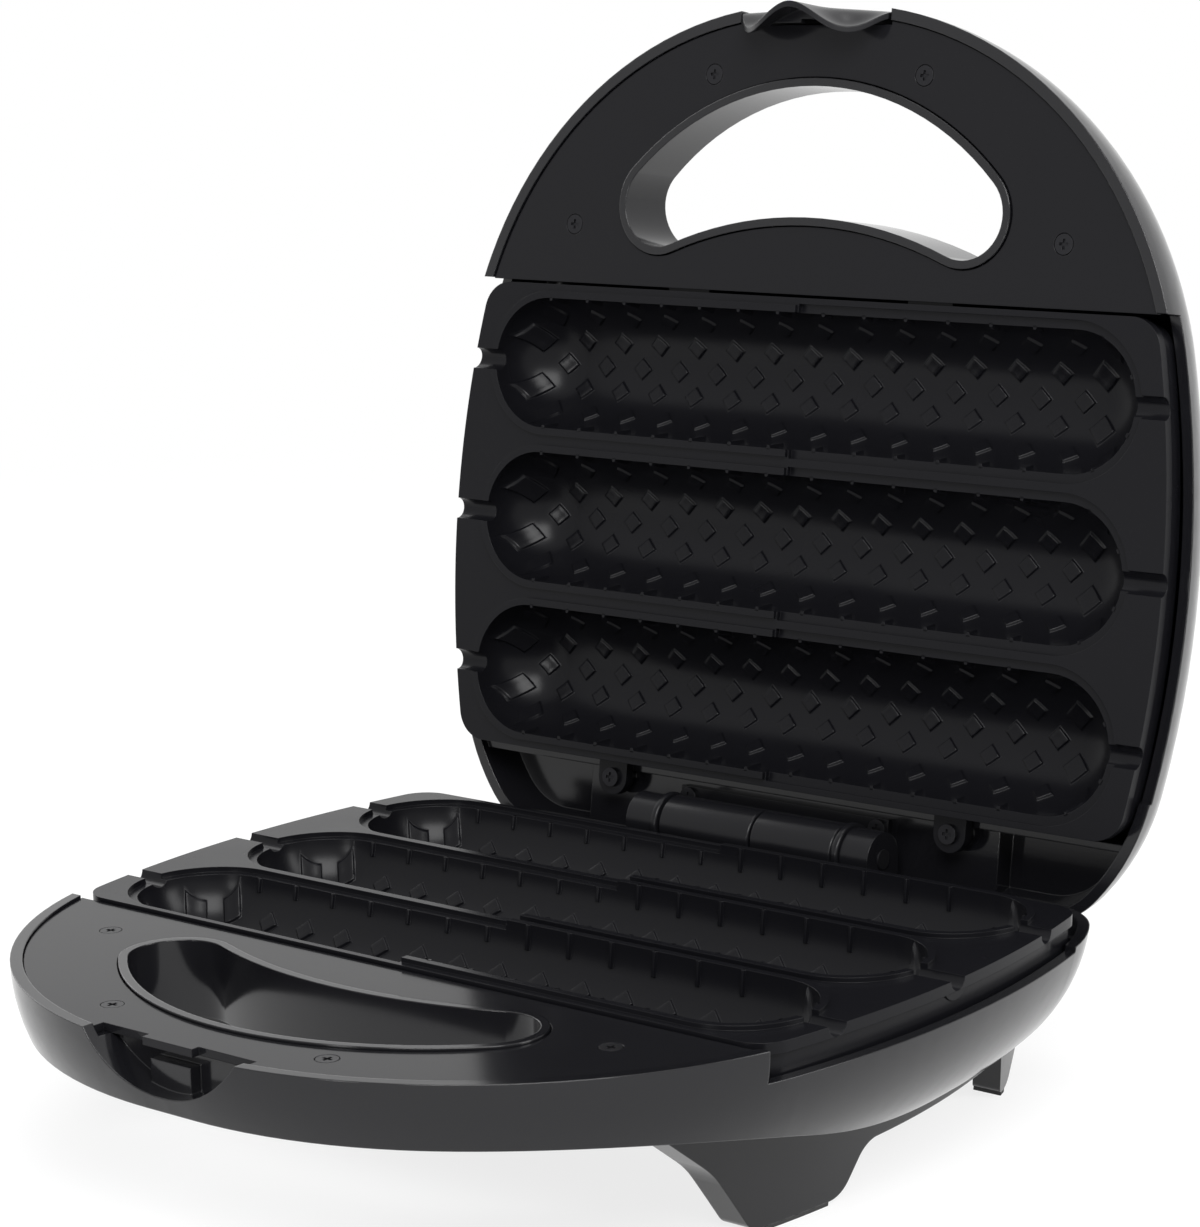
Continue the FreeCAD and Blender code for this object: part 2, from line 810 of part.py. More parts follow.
def capsule(radius, y):
    """Rounded rod along X with ball ends, centred on the cooking face."""
    reach = size("cavity_reach") - size("cavity_radius")
    barrel = rod(radius, Vector(-reach, y, 0), X_AXIS, 2.0 * reach)
    left = Part.makeSphere(radius, Vector(-reach, y, 0))
    right = Part.makeSphere(radius, Vector(reach, y, 0))
    return barrel.multiFuse([left, right]).removeSplitter()


def mouth(radius, y, z0, z1):
    """Flat sided prism over the mouth of a cavity."""
    reach = size("cavity_reach") - size("cavity_radius")
    ends = [rod(radius, Vector(side * reach, y, z0), Z_AXIS, z1 - z0) for side in (-1, 1)]
    middle = box(-reach, reach, y - radius, y + radius, z0, z1)
    return middle.multiFuse(ends).removeSplitter()


def cooking_plate():
    face = size("face_gap")
    flange = size("plate_flange")
    skirt = size("plate_skirt")
    wall = size("plate_wall")
    step = size("skirt_inset")
    radius = size("cavity_radius")
    groove = size("groove_radius")
    bead = size("bead_width")
    height = size("bead_height")
    play = size("bead_play")
    rows = [side * size("cavity_pitch") for side in (-1, 0, 1)]
    body = plate_of(plate_outline(0.0), face, flange)
    ring = plate_of(plate_outline(step), face, skirt)
    ring = ring.cut(plate_of(plate_outline(step + wall), flange, FAR))
    grooves = [rod(groove, Vector(-FAR, y, 0), X_AXIS, 2.0 * FAR) for y in rows]
    adds = [ring]
    for y in rows:
        adds.append(capsule(radius + wall, y))
        spine = rod(groove + wall, Vector(-FAR, y, 0), X_AXIS, 2.0 * FAR)
        adds.append(spine.common(plate_of(plate_outline(step), face, FAR)))
    lug = size("lug_radius")
    lug_top = size("lug_face")
    lug_under = lug_top + size("lug_thick")
    for point in lug_points(lug_top):
        adds.append(rod(lug, point, Z_AXIS, size("lug_thick")))
        inner_y = size("plate_half_depth") - step - wall
        adds.append(box(point.x - lug, point.x + lug, inner_y, point.y, lug_top, lug_under))
    half = size("tongue_width") / 2.0
    tongue_y = size("plate_half_depth") + size("tongue_length")
    top = size("tongue_face")
    for side in (-1, 1):
        x = side * size("tongue_reach")
        end_y = step + wall - size("plate_half_depth")
        adds.append(box(x - half, x + half, -tongue_y, end_y, top, top + size("tongue_thick")))
    body = body.multiFuse(adds)
    body = body.cut(box(-FAR, FAR, -FAR, FAR, -FAR, face))
    beads = []
    rabbets = []
    for y in rows:
        strip = mouth(radius + bead, y, face - height, face + play)
        beads.append(strip.common(box(-FAR, -play, -FAR, FAR, -FAR, FAR)))
        hollow = mouth(radius + bead + play, y, -FAR, height + play)
        rabbets.append(hollow.common(box(0, FAR, -FAR, FAR, -FAR, FAR)))
    body = body.multiFuse(beads)
    tools = rabbets + grooves + [capsule(radius, y) for y in rows]
    tools += [mouth(radius, y, -FAR, face) for y in rows]
    tools += [box(-FAR, FAR, y - groove, y + groove, -FAR, face) for y in rows]
    for point in lug_points(lug_top):
        tools.append(rod(size("screw_shank") + size("screw_play"), point, Z_AXIS, size("lug_thick")))
    return body.cut(tools).removeSplitter()


# Latch and feet

WAVE_STEPS = 6


def latch_section(z, thick):
    """Closed outline of the latch plate at a height: flat near the hinge, wavy at the tip."""
    middle = catch_x(True)
    half = size("latch_half")
    front = size("front_reach")
    trough_x = half * size("trough_share")
    flat = [size("flat_inset"), (size("flat_inset") + size("flat_tip_inset")) / 2.0, size("flat_tip_inset")]
    wave = [size("hump_inset"), size("trough_inset"), size("tip_inset")]
    run = (size("wave_start") - z) / (size("wave_start") + size("wave_full"))
    share = 0.5 - 0.5 * math.cos(math.pi * min(max(run, 0.0), 1.0))
    insets = [low + (high - low) * share for low, high in zip(flat, wave)]
    reaches = [0.0, trough_x, half]
    right = [Vector(middle + x, inset - front, z) for x, inset in zip(reaches, insets)]
    left = [Vector(middle - x, inset - front, z) for x, inset in zip(reaches, insets)]
    outside = left[:0:-1] + right
    inside = [point + Vector(0, thick, 0) for point in outside]
    curves = []
    for points in (outside, inside[::-1]):
        curve = Part.BSplineCurve()
        curve.interpolate(points)
        curves.append(curve.toShape())
    sides = [line_edge(outside[-1], inside[-1]), line_edge(inside[0], outside[0])]
    return Part.Wire([curves[0], sides[0], curves[1], sides[1]])


def latch_sheet(thick):
    high = size("latch_rise")
    low = -size("latch_drop")
    heights = [high + (low - high) * step / WAVE_STEPS for step in range(WAVE_STEPS + 1)]
    return Part.makeLoft([latch_section(z, thick) for z in heights], True, False)


def latch_shape():
    """Wave shaped plate on a small barrel, with a hook bar behind its middle."""
    middle = catch_x(True)
    half = size("latch_half")
    thick = size("latch_thick")
    radius, centre = latch_arc()
    plate = latch_sheet(thick).common(rod(radius, Vector(middle, -FAR, centre), Y_AXIS, 2.0 * FAR))
    pivot = Vector(middle, -size("latch_pivot_front"), size("latch_pivot_rise"))
    barrel_half = half - thick
    barrel = rod(size("latch_barrel_radius"), pivot - X_AXIS * barrel_half, X_AXIS, 2.0 * barrel_half)
    top = -size("hook_drop")
    under = top - size("hook_height")
    tip = -size("catch_lip") - size("hook_play")
    step_x = middle - size("hook_step_x")
    front = -size("front_reach")
    hook = box(middle - size("hook_left"), step_x, front, tip, under, top)
    hook = hook.fuse(box(step_x, middle + size("hook_right"), front, tip - size("hook_step"), under, top))
    hook = hook.common(latch_sheet(size("hook_body")))
    bore = rod(size("latch_pin_radius") + size("pin_play"), pivot - X_AXIS * FAR, X_AXIS, 2.0 * FAR)
    return plate.multiFuse([barrel, hook]).cut(bore).removeSplitter()


def skid_profile():
    """Side view of a foot rail: front foot, web and rear foot, as a solid along X."""
    sole = size("mate_height") - size("pad_thick")
    top = size("skid_top")
    web = size("web_depth")
    corner = size("rear_corner_radius")
    face = rounded_face([
        (-size("skid_front"), top, 0.0),
        (-size("front_bend_y"), size("front_bend_depth"), size("front_bend_radius")),
        (-size("front_heel"), sole, size("front_heel_radius")),
        (-size("front_toe"), sole, size("front_toe_radius")),
        (-size("web_start"), web, size("web_radius")),
        (size("rear_web_end"), web, corner),
        (size("rear_heel"), sole, corner),
        (size("rear_toe"), sole, size("rear_back_radius")),
        (size("rear_back"), size("rear_bend_depth"), size("rear_back_radius")),
        (size("rear_back"), top, 0.0),
    ])
    return face.extrude(Vector(2.0 * FAR, 0, 0))


def skid_band(side):
    """Sloping band along one side of the shell that a foot rail is cut from."""
    top = size("skid_top")
    sole = size("mate_height")
    centre = Vector(side * (size("half_width") - size("side_radius")), 0, top)
    wide = size("side_radius") - skid_inset_at(top)
    narrow = size("side_radius") - skid_inset_at(sole)
    thick = size("skid_thick")
    outside = Part.makeCone(wide, narrow, sole - top, centre)
    inside = Part.makeCone(wide - thick, narrow - thick, sole - top, centre)
    half = box(0, FAR, -FAR, FAR, 0, FAR) if side > 0 else box(-FAR, 0, -FAR, FAR, 0, FAR)
    return outside.cut(inside).common(half)


def skid(side):
    rail = skid_band(side).common(skid_profile())
    rail = rail.cut(bowl(size("base_back"), 0.0))
    tools = []
    for point in skid_screw_points(size("web_depth")):
        tools.append(rod(size("screw_shank") + size("screw_play"), point, DOWN, size("mate_height")))
        tools.append(rod(size("screw_head") + size("screw_play"), point, DOWN, size("screw_head_thick")))
    return rail.cut(tools)


def foot_pads():
    sole = size("mate_height")
    top = sole - size("pad_thick")
    inset = size("pad_inset")
    front = box(-FAR, FAR, inset - size("front_heel"), -size("front_toe") - inset, top, sole)
    rear = box(-FAR, FAR, size("rear_heel") + inset / 4.0, size("rear_toe") - inset / 2.0, top, sole)
    return Part.makeCompound([
        piece
        for side in (-1, 1)
        for zone in (front, rear)
        for piece in skid_band(side).common(zone).Solids
    ])


# Screws, all of one size
screw = turned("screw_master", [
    ("0", "0"),
    ("screw_head", "0"),
    ("screw_head", "screw_head_thick"),
    ("screw_shank", "screw_head_thick"),
    ("screw_shank", "screw_head_thick + screw_length"),
    ("0", "screw_head_thick + screw_length"),
])
arm = "screw_head / 2"
slot = "screw_slot / 2"
cross = corner_sketch(screw, "screw_cross", "XY_Plane", [
    (arm, "- " + slot), (arm, slot), (slot, slot), (slot, arm),
    ("- " + slot, arm), ("- " + slot, slot), ("- " + arm, slot), ("- " + arm, "- " + slot),
    ("- " + slot, "- " + slot), ("- " + slot, "- " + arm), (slot, "- " + arm), (slot, "- " + slot),
])
pocketed(screw, "screw_cross_pocket", cross, "screw_head_thick / 2", True)

cover_spots = spots_at(cover_screw_points(size("cover_face")))
head = size("screw_head_thick")
lug_spots = spots_at(lug_points(size("lug_face") - head))
base_spots = spots_at(base_bracket_points(size("deck_face") - size("bracket_thick") - head))
lid_spots = spots_at(lid_bracket_points(size("deck_face") - size("bracket_thick") - head))
skid_spots = spots_at(skid_screw_points(size("web_depth")), FLIPPED)
keep_copies("base_cover_screws", screw, cover_spots, BASE)
keep_copies("lid_cover_screws", screw, cover_spots, LID)
keep_copies("lower_plate_screws", screw, lug_spots, BASE)
keep_copies("upper_plate_screws", screw, lug_spots, LID)
keep_copies("hinge_base_screws", screw, base_spots, BASE)
keep_copies("hinge_lid_screws", screw, lid_spots, LID)
keep_copies("skid_screws", screw, skid_spots, BASE)

# Shells, covers and plates
keep_shape("base_housing", housing(False), BASE)
keep_shape("lid_housing", housing(True), LID)
keep_shape("base_handle_cover", handle_cover(False), BASE)
keep_shape("lid_handle_cover", handle_cover(True), LID)
casting = cooking_plate()
keep_shape("lower_plate", casting, BASE)
keep_shape("upper_plate", casting, LID)
keep_shape("latch", latch_shape(), LID)
keep_shape("left_skid", skid(1), BASE)
keep_shape("right_skid", skid(-1), BASE)
keep_shape("foot_pads", foot_pads(), BASE)

# Heating element: two legs, a half loop round the middle cavity and two bent ends
reach = size("element_straight")
lane = size("cavity_pitch") / 2.0
core = size("cavity_radius") + size("plate_wall") + size("element_radius") + size("element_play")
element_z = math.sqrt(core ** 2 - lane ** 2)
bend = size("element_bend")
tube = {"Radius": "element_radius"}
for half, element_name, clip_name, shield_name in (
    (BASE, "lower_heating_element", "lower_element_clips", "lower_heat_shield"),
    (LID, "upper_heating_element", "upper_element_clips", "upper_heat_shield"),
):
    loop = primitive(
        "Part::Torus", element_name + "_loop",
        {"Radius1": "cavity_pitch / 2", "Radius2": "element_radius"},
        Vector(-reach, 0, element_z), Rotation(Z_AXIS, 90),
    )
    loop.Angle3 = 180
    pieces = [loop]
    for side, tag in ((-1, "front"), (1, "rear")):
        y = side * lane
        spot = Vector(-reach, y, element_z)
        straight = dict(tube, Height="2 * element_straight")
        pieces.append(primitive("Part::Cylinder", element_name + "_leg_" + tag, straight, spot, ALONG_X))
        corner = Vector(reach, y, element_z + bend)
        bow = primitive(
            "Part::Torus", element_name + "_bend_" + tag,
            {"Radius1": "element_bend", "Radius2": "element_radius"},
            corner, Rotation(X_AXIS, -90),
        )
        bow.Angle3 = 90
        pieces.append(bow)
        start = Vector(reach + bend, y, element_z + bend)
        drop = dict(tube, Height="element_drop")
        pieces.append(primitive("Part::Cylinder", element_name + "_end_" + tag, drop, start, STRAIGHT))
        start = start + Vector(0, 0, size("element_drop"))
        pin = {"Radius": "terminal_radius", "Height": "terminal_length"}
        pieces.append(primitive("Part::Cylinder", element_name + "_terminal_" + tag, pin, start, STRAIGHT))
    keep(joined(element_name, pieces), element_name, half)
    clip_z = element_z + size("element_radius") + size("clip_play")
    strap = slab(
        clip_name + "_strap",
        "- clip_length / 2", "clip_length / 2", "- clip_width / 2", "clip_width / 2",
        "0", "clip_thick",
    )
    spread = size("clip_spread")
    points = [Vector(x, y, clip_z) for x in (-spread, spread) for y in (-lane, lane)]
    keep_copies(clip_name, strap, spots_at(points), half)
    shield = slab(
        shield_name,
        "- shield_half", "shield_half", "- shield_front", "shield_back",
        "cavity_radius + plate_wall + element_play", "shield_thick",
    )
    keep(shield, shield_name, half)

# Hinge
axis_y = size("hinge_back")
rise = size("hinge_drop")
half_barrel = size("barrel_half")
collar = size("collar_width")
gap = size("knuckle_gap")
seat = size("deck_face")
plate_z = seat - size("bracket_thick")
bore_size = {"Radius": "pin_radius + pin_play", "Height": "2 * mate_height"}


def axle(name, radius, length, x, z):
    formulas = {"Radius": radius, "Height": length}
    return primitive("Part::Cylinder", name, formulas, Vector(x, axis_y, z), ALONG_X)


lid_pieces = [
    slab("lid_bracket_plate", "- lid_bracket_half", "lid_bracket_half", "bracket_front",
         "lid_bracket_back", "deck_face - bracket_thick", "bracket_thick"),
    slab("lid_bracket_web", "- barrel_half", "barrel_half", "hinge_back - web_half",
         "hinge_back + web_half", "- hinge_drop", "deck_face + hinge_drop - bracket_thick"),
    axle("lid_barrel", "barrel_radius", "2 * barrel_half", -half_barrel, -rise),
    axle("lid_collar_left", "collar_radius", "collar_width", -half_barrel, -rise),
    axle("lid_collar_right", "collar_radius", "collar_width", half_barrel - collar, -rise),
]
lid_bore = axle("lid_hinge_bore", "pin_radius + pin_play", "2 * barrel_half", -half_barrel, -rise)
split = joined("lid_hinge_cuts", [lid_bore] + [
    primitive("Part::Cylinder", "lid_bracket_bore_%d" % i,
              {"Radius": "screw_shank + screw_play", "Height": "deck_face"},
              Vector(point.x, point.y, 0), STRAIGHT)
    for i, point in enumerate(lid_bracket_points(0.0))
])
keep(carved("hinge_lid_bracket", joined("lid_hinge_body", lid_pieces), split), "hinge_lid_bracket", LID)

cap_start = half_barrel + gap
base_pieces = [
    slab("base_bracket_plate", "- base_bracket_half", "base_bracket_half", "bracket_front",
         "base_bracket_back", "deck_face - bracket_thick", "bracket_thick"),
]
for side, tag in ((-1, "left"), (1, "right")):
    low = "barrel_half + knuckle_gap"
    high = "barrel_half + knuckle_gap + cap_width"
    ends = ("- " + high.replace("+", "-"), "- " + low.replace("+", "-")) if side < 0 else (low, high)
    base_pieces.append(slab("base_post_" + tag, ends[0], ends[1], "hinge_back - post_half",
                            "hinge_back + post_half", "hinge_drop",
                            "deck_face - hinge_drop - bracket_thick"))
    x = cap_start if side > 0 else -cap_start - size("cap_width")
    base_pieces.append(axle("base_cap_" + tag, "cap_radius", "cap_width", x, rise))
span = cap_start + size("cap_width") - size("cap_wall")
base_cuts = [axle("base_hinge_bore", "pin_radius + pin_play",
                  "2 * barrel_half + 2 * knuckle_gap + 2 * cap_width - 2 * cap_wall", -span, rise)]
base_cuts += [
    primitive("Part::Cylinder", "base_bracket_bore_%d" % i,
              {"Radius": "screw_shank + screw_play", "Height": "deck_face"},
              Vector(point.x, point.y, 0), STRAIGHT)
    for i, point in enumerate(base_bracket_points(0.0))
]
keep(carved("hinge_base_bracket", joined("base_hinge_body", base_pieces),
            joined("base_hinge_cuts", base_cuts)), "hinge_base_bracket", BASE)

pin = primitive("Part::Cylinder", "hinge_pin",
                {"Radius": "pin_radius",
                 "Height": "2 * barrel_half + 2 * knuckle_gap + 2 * cap_width - 2 * cap_wall - 2 * pin_play"},
                Vector(), STRAIGHT)
pin_spot = Placement(Vector(size("pin_play") - span, axis_y, rise), ALONG_X)
keep(pin, "hinge_pin", BASE.multiply(pin_spot))

reach_x = size("latch_half") + size("recess_play") + size("block_wall") - size("pin_play")
latch_pin = primitive("Part::Cylinder", "latch_pin",
                      {"Radius": "latch_pin_radius",
                       "Height": "2 * latch_half + 2 * recess_play + 2 * block_wall - 2 * pin_play"},
                      Vector(), STRAIGHT)
pin_start = Vector(catch_x(True) - reach_x, -size("latch_pivot_front"), size("latch_pivot_rise"))
keep(latch_pin, "latch_pin", LID.multiply(Placement(pin_start, ALONG_X)))

# Indicator lamps in the lid: a lens through the shell and a neon lamp behind each
lens_y = -size("lens_front")
flange_z = belly_depth(lens_y - size("lens_flange"), size("wall")) - size("lens_flange_thick")
lens_corners = [
    ("0", "0"),
    ("lens_flange", "0"),
    ("lens_flange", "lens_flange_thick"),
    ("lens_radius", "lens_flange_thick"),
    ("lens_radius", "lens_length - lens_round"),
    ("lens_radius - lens_round", "lens_length"),
    ("0", "lens_length"),
]
left_lens, right_lens = lens_points(flange_z)
keep(turned("power_lamp_lens", lens_corners), "power_lamp_lens", LID.multiply(Placement(left_lens, STRAIGHT)))
keep(turned("ready_lamp_lens", lens_corners), "ready_lamp_lens", LID.multiply(Placement(right_lens, STRAIGHT)))
neon = turned("neon_master", [
    ("0", "0"),
    ("neon_radius - lens_round", "0"),
    ("neon_radius", "lens_round"),
    ("neon_radius", "neon_length"),
    ("0", "neon_length"),
])
neon_z = flange_z - size("neon_length") - size("seat_gap")
keep_copies("neon_lamps", neon, spots_at(lens_points(neon_z)), LID)

# Electrics inside the base and the lid
under_shield = size("cavity_radius") + size("plate_wall") + size("element_play") + size("shield_thick")
thermostat = turned("thermostat", [
    ("0", "0"),
    ("thermostat_radius", "0"),
    ("thermostat_radius", "thermostat_height / 2"),
    ("thermostat_radius - wall", "thermostat_height / 2"),
    ("thermostat_radius - wall", "thermostat_height"),
    ("0", "thermostat_height"),
])
spot = Vector(0, size("thermostat_y"), under_shield)
keep(thermostat, "thermostat", BASE.multiply(Placement(spot, STRAIGHT)))

fuse = turned("thermal_fuse", [
    ("0", "0"),
    ("fuse_radius / 2", "0"),
    ("fuse_radius / 2", "fuse_radius"),
    ("fuse_radius", "fuse_radius"),
    ("fuse_radius", "fuse_length - fuse_radius"),
    ("fuse_radius / 2", "fuse_length - fuse_radius"),
    ("fuse_radius / 2", "fuse_length"),
    ("0", "fuse_length"),
])
spot = Vector(-size("fuse_length") / 2.0, size("thermostat_y"), under_shield + size("fuse_radius"))
keep(fuse, "thermal_fuse", LID.multiply(Placement(spot, ALONG_X)))

block = slab("terminal_block", "- block_reach - block_length / 2", "block_length / 2 - block_reach",
             "block_y - block_width / 2", "block_y + block_width / 2",
             "body_depth - wall - block_height", "block_height")
for i, share in enumerate((-1, 0, 1)):
    x = "- block_reach" if share == 0 else "- block_reach %s block_length / 3" % ("+" if share > 0 else "-")
    sketch = corner_sketch(block, "terminal_slot_%d" % i, "XY_Plane", [
        (x + " - block_slot", "block_y - block_slot"),
        (x + " + block_slot", "block_y - block_slot"),
        (x + " + block_slot", "block_y + block_slot"),
        (x + " - block_slot", "block_y + block_slot"),
    ], "body_depth - wall - block_height")
    pocketed(block, "terminal_well_%d" % i, sketch, "block_height / 2", True)
keep(block, "terminal_block", BASE)

gland = turned("cord_gland", [
    ("gland_bore", "0"),
    ("gland_radius", "0"),
    ("gland_radius", "gland_length - gland_radius / 2"),
    ("gland_radius * 3 / 4", "gland_length"),
    ("gland_bore", "gland_length"),
])
spot = Vector(-size("gland_x"), size("gland_y"), size("gland_depth"))
keep(gland, "cord_gland", BASE.multiply(Placement(spot, ALONG_Y)))

doc.recompute()

for item in doc.Objects:
    if "Invalid" in item.State or "Error" in item.State:
        raise RuntimeError("%s is %s" % (item.Name, item.State))
os.makedirs("parts", exist_ok=True)
for item in nodes:
    if item.Shape.isNull() or not item.Shape.isValid():
        raise RuntimeError("%s has no valid shape" % item.Label)
    item.Shape.exportStep("parts/%s.step" % item.Label)
    print(item.Label, len(item.Shape.Solids), round(item.Shape.Volume))
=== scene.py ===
import json
import math

import bmesh
import bpy
from mathutils import Euler, Matrix, Vector

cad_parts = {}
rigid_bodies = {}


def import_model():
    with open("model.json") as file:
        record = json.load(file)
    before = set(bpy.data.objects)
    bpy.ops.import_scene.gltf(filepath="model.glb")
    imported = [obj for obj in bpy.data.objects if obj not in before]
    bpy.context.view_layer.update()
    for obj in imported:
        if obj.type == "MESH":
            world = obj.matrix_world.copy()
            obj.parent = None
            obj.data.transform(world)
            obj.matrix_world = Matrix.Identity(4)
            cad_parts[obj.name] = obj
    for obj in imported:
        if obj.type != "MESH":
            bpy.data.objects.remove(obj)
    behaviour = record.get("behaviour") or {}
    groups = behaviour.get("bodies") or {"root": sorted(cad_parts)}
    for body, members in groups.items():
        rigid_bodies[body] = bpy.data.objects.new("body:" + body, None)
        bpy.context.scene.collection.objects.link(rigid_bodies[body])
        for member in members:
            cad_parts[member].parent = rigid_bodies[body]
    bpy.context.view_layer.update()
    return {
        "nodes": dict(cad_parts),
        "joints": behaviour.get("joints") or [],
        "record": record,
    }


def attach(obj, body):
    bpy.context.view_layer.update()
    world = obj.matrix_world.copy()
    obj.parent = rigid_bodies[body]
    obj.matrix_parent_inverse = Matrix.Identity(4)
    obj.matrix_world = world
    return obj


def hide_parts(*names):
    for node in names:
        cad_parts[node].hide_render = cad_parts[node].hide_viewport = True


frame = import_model()
MM = 0.001

# The two halves: a half is drawn with its cooking face at z = 0, the hinge side at +Y and
# its depth going up +Z. The lid is that half turned open, the base is that half turned over.
hinge_joint = next(joint for joint in frame["joints"] if joint["name"] == "lid_hinge")
OPEN_ANGLE = math.radians(hinge_joint["range_deg"][1])
HINGE_DROP = 1.0 * MM
HINGE_BACK = 80.35 * MM
PLATE_BACK = hinge_joint["pos_m"][1] - HINGE_BACK
MATE_HEIGHT = hinge_joint["pos_m"][2] + HINGE_DROP
HINGE = Vector((0, HINGE_BACK, -HINGE_DROP))
LIFT = Matrix.Translation((0, PLATE_BACK, MATE_HEIGHT))
BASE = LIFT @ Matrix.Rotation(math.pi, 4, "Y")
LID = (LIFT @ Matrix.Translation(HINGE) @ Matrix.Rotation(-OPEN_ANGLE, 4, "X")
       @ Matrix.Translation(-HINGE))

# Camera of the photograph: where it stands, which way it looks and how long its lens is
IMAGE_HEIGHT = 1227
FOCAL_PIXELS = 3426.0
CAMERA_SPOT = Vector((541.9, -645.6, 293.5)) * MM + Vector((0, PLATE_BACK, 0))
CAMERA_AZIMUTH = math.radians(39.392)
CAMERA_ELEVATION = math.radians(11.024)
CAMERA_ROLL = math.radians(-1.37)
SENSOR = 36.0
CLIP_NEAR = 0.05
CLIP_FAR = 50

camera_data = bpy.data.cameras.new("camera")
camera_data.sensor_width = SENSOR
camera_data.lens = SENSOR * FOCAL_PIXELS / IMAGE_HEIGHT
camera_data.clip_start = CLIP_NEAR
camera_data.clip_end = CLIP_FAR
camera = bpy.data.objects.new("camera", camera_data)
bpy.context.scene.collection.objects.link(camera)
camera.matrix_world = (
    Matrix.Translation(CAMERA_SPOT)
    @ Euler((math.pi / 2 - CAMERA_ELEVATION, 0, CAMERA_AZIMUTH)).to_matrix().to_4x4()
    @ Matrix.Rotation(CAMERA_ROLL, 4, "Z")
)
bpy.context.scene.camera = camera
bpy.context.scene.view_settings.view_transform = "Standard"


# Mesh helpers

WELD = 0.002 * MM
SAME_POINT = 0.01 * MM
BAR_SIDES = 64


def new_object(name, mesh, body, material):
    item = bpy.data.objects.new(name, mesh)
    bpy.context.scene.collection.objects.link(item)
    mesh.materials.clear()
    mesh.materials.append(material)
    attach(item, body)
    return item


def mesh_from(points, faces, name="part"):
    mesh = bpy.data.meshes.new(name)
    mesh.from_pydata([tuple(point) for point in points], [], faces)
    mesh.validate()
    return mesh


def prism(outline, z0, z1):
    """Closed prism over an outline of (x, y) points, given anticlockwise."""
    count = len(outline)
    points = [(x, y, z0) for x, y in outline] + [(x, y, z1) for x, y in outline]
    faces = [list(range(count))[::-1], list(range(count, 2 * count))]
    for i in range(count):
        j = (i + 1) % count
        faces.append([i, j, j + count, i + count])
    return mesh_from(points, faces)


def block(x0, x1, y0, y1, z0, z1):
    return prism([(x0, y0), (x1, y0), (x1, y1), (x0, y1)], z0, z1)


def bar(outline, x0, x1):
    """Closed bar along X over an outline of (y, z) points."""
    count = len(outline)
    points = [(x, y, z) for x in (x0, x1) for y, z in outline]
    faces = [list(range(count)), list(range(count, 2 * count))]
    for i in range(count):
        j = (i + 1) % count
        faces.append([i, j, j + count, i + count])
    mesh = mesh_from(points, faces)
    fix_normals(mesh)
    return mesh


def cylinder(radius, start, axis, length, count=BAR_SIDES):
    """Closed round bar from a start point along an axis."""
    outline = [(radius * math.cos(a), radius * math.sin(a))
               for a in (2 * math.pi * i / count for i in range(count))]
    mesh = prism(outline, 0, length)
    turn = Vector((0, 0, 1)).rotation_difference(Vector(axis)).to_matrix().to_4x4()
    mesh.transform(Matrix.Translation(start) @ turn)
    return mesh


def combine(mesh, operation, tools):
    """Adds tools to a mesh, or takes them away."""
    base = bpy.data.objects.new("combine_base", mesh)
    bpy.context.scene.collection.objects.link(base)
    group = bpy.data.collections.new("combine_tools")
    bpy.context.scene.collection.children.link(group)
    for tool in tools:
        group.objects.link(bpy.data.objects.new("combine_tool", tool))
    change = base.modifiers.new("combine", "BOOLEAN")
    change.operation = operation
    change.operand_type = "COLLECTION"
    change.collection = group
    change.solver = "EXACT"
    change.use_self = operation == "UNION"
    bpy.context.view_layer.update()
    graph = bpy.context.evaluated_depsgraph_get()
    result = bpy.data.meshes.new_from_object(base.evaluated_get(graph))
    for tool in list(group.objects):
        bpy.data.objects.remove(tool)
    bpy.data.collections.remove(group)
    bpy.data.objects.remove(base)
    return result


def fix_normals(mesh):
    """Turns all faces of a closed mesh outwards."""
    work = bmesh.new()
    work.from_mesh(mesh)
    bmesh.ops.recalc_face_normals(work, faces=work.faces)
    work.to_mesh(mesh)
    work.free()


def smooth(mesh, angle=30):
    """Smooth shading that keeps edges sharper than the angle."""
    work = bmesh.new()
    work.from_mesh(mesh)
    bmesh.ops.remove_doubles(work, verts=work.verts, dist=WELD)
    limit = math.radians(angle)
    for edge in work.edges:
        if len(edge.link_faces) == 2:
            edge.smooth = edge.calc_face_angle(0) < limit
    for face in work.faces:
        face.smooth = True
    work.to_mesh(mesh)
    work.free()


def arc(cx, cy, radius, start, end, step):
    """Points of an arc given in degrees, both ends included."""
    count = max(2, math.ceil(abs(math.radians(end - start)) * radius / step))
    turns = [math.radians(start + (end - start) * i / count) for i in range(count + 1)]
    return [(cx + radius * math.cos(a), cy + radius * math.sin(a)) for a in turns]


def mirrored(right):
    """Closes an outline, drawn up the right hand side, with its mirror image."""
    left = [(-x, y) for x, y in reversed(right)]
    points = []
    for point in right + left:
        if not points or math.dist(point, points[-1]) > SAME_POINT:
            points.append(point)
    if math.dist(points[0], points[-1]) < SAME_POINT:
        points.pop()
    return points


# Cooking plates: one casting with three cavities, each with raised diamond pads

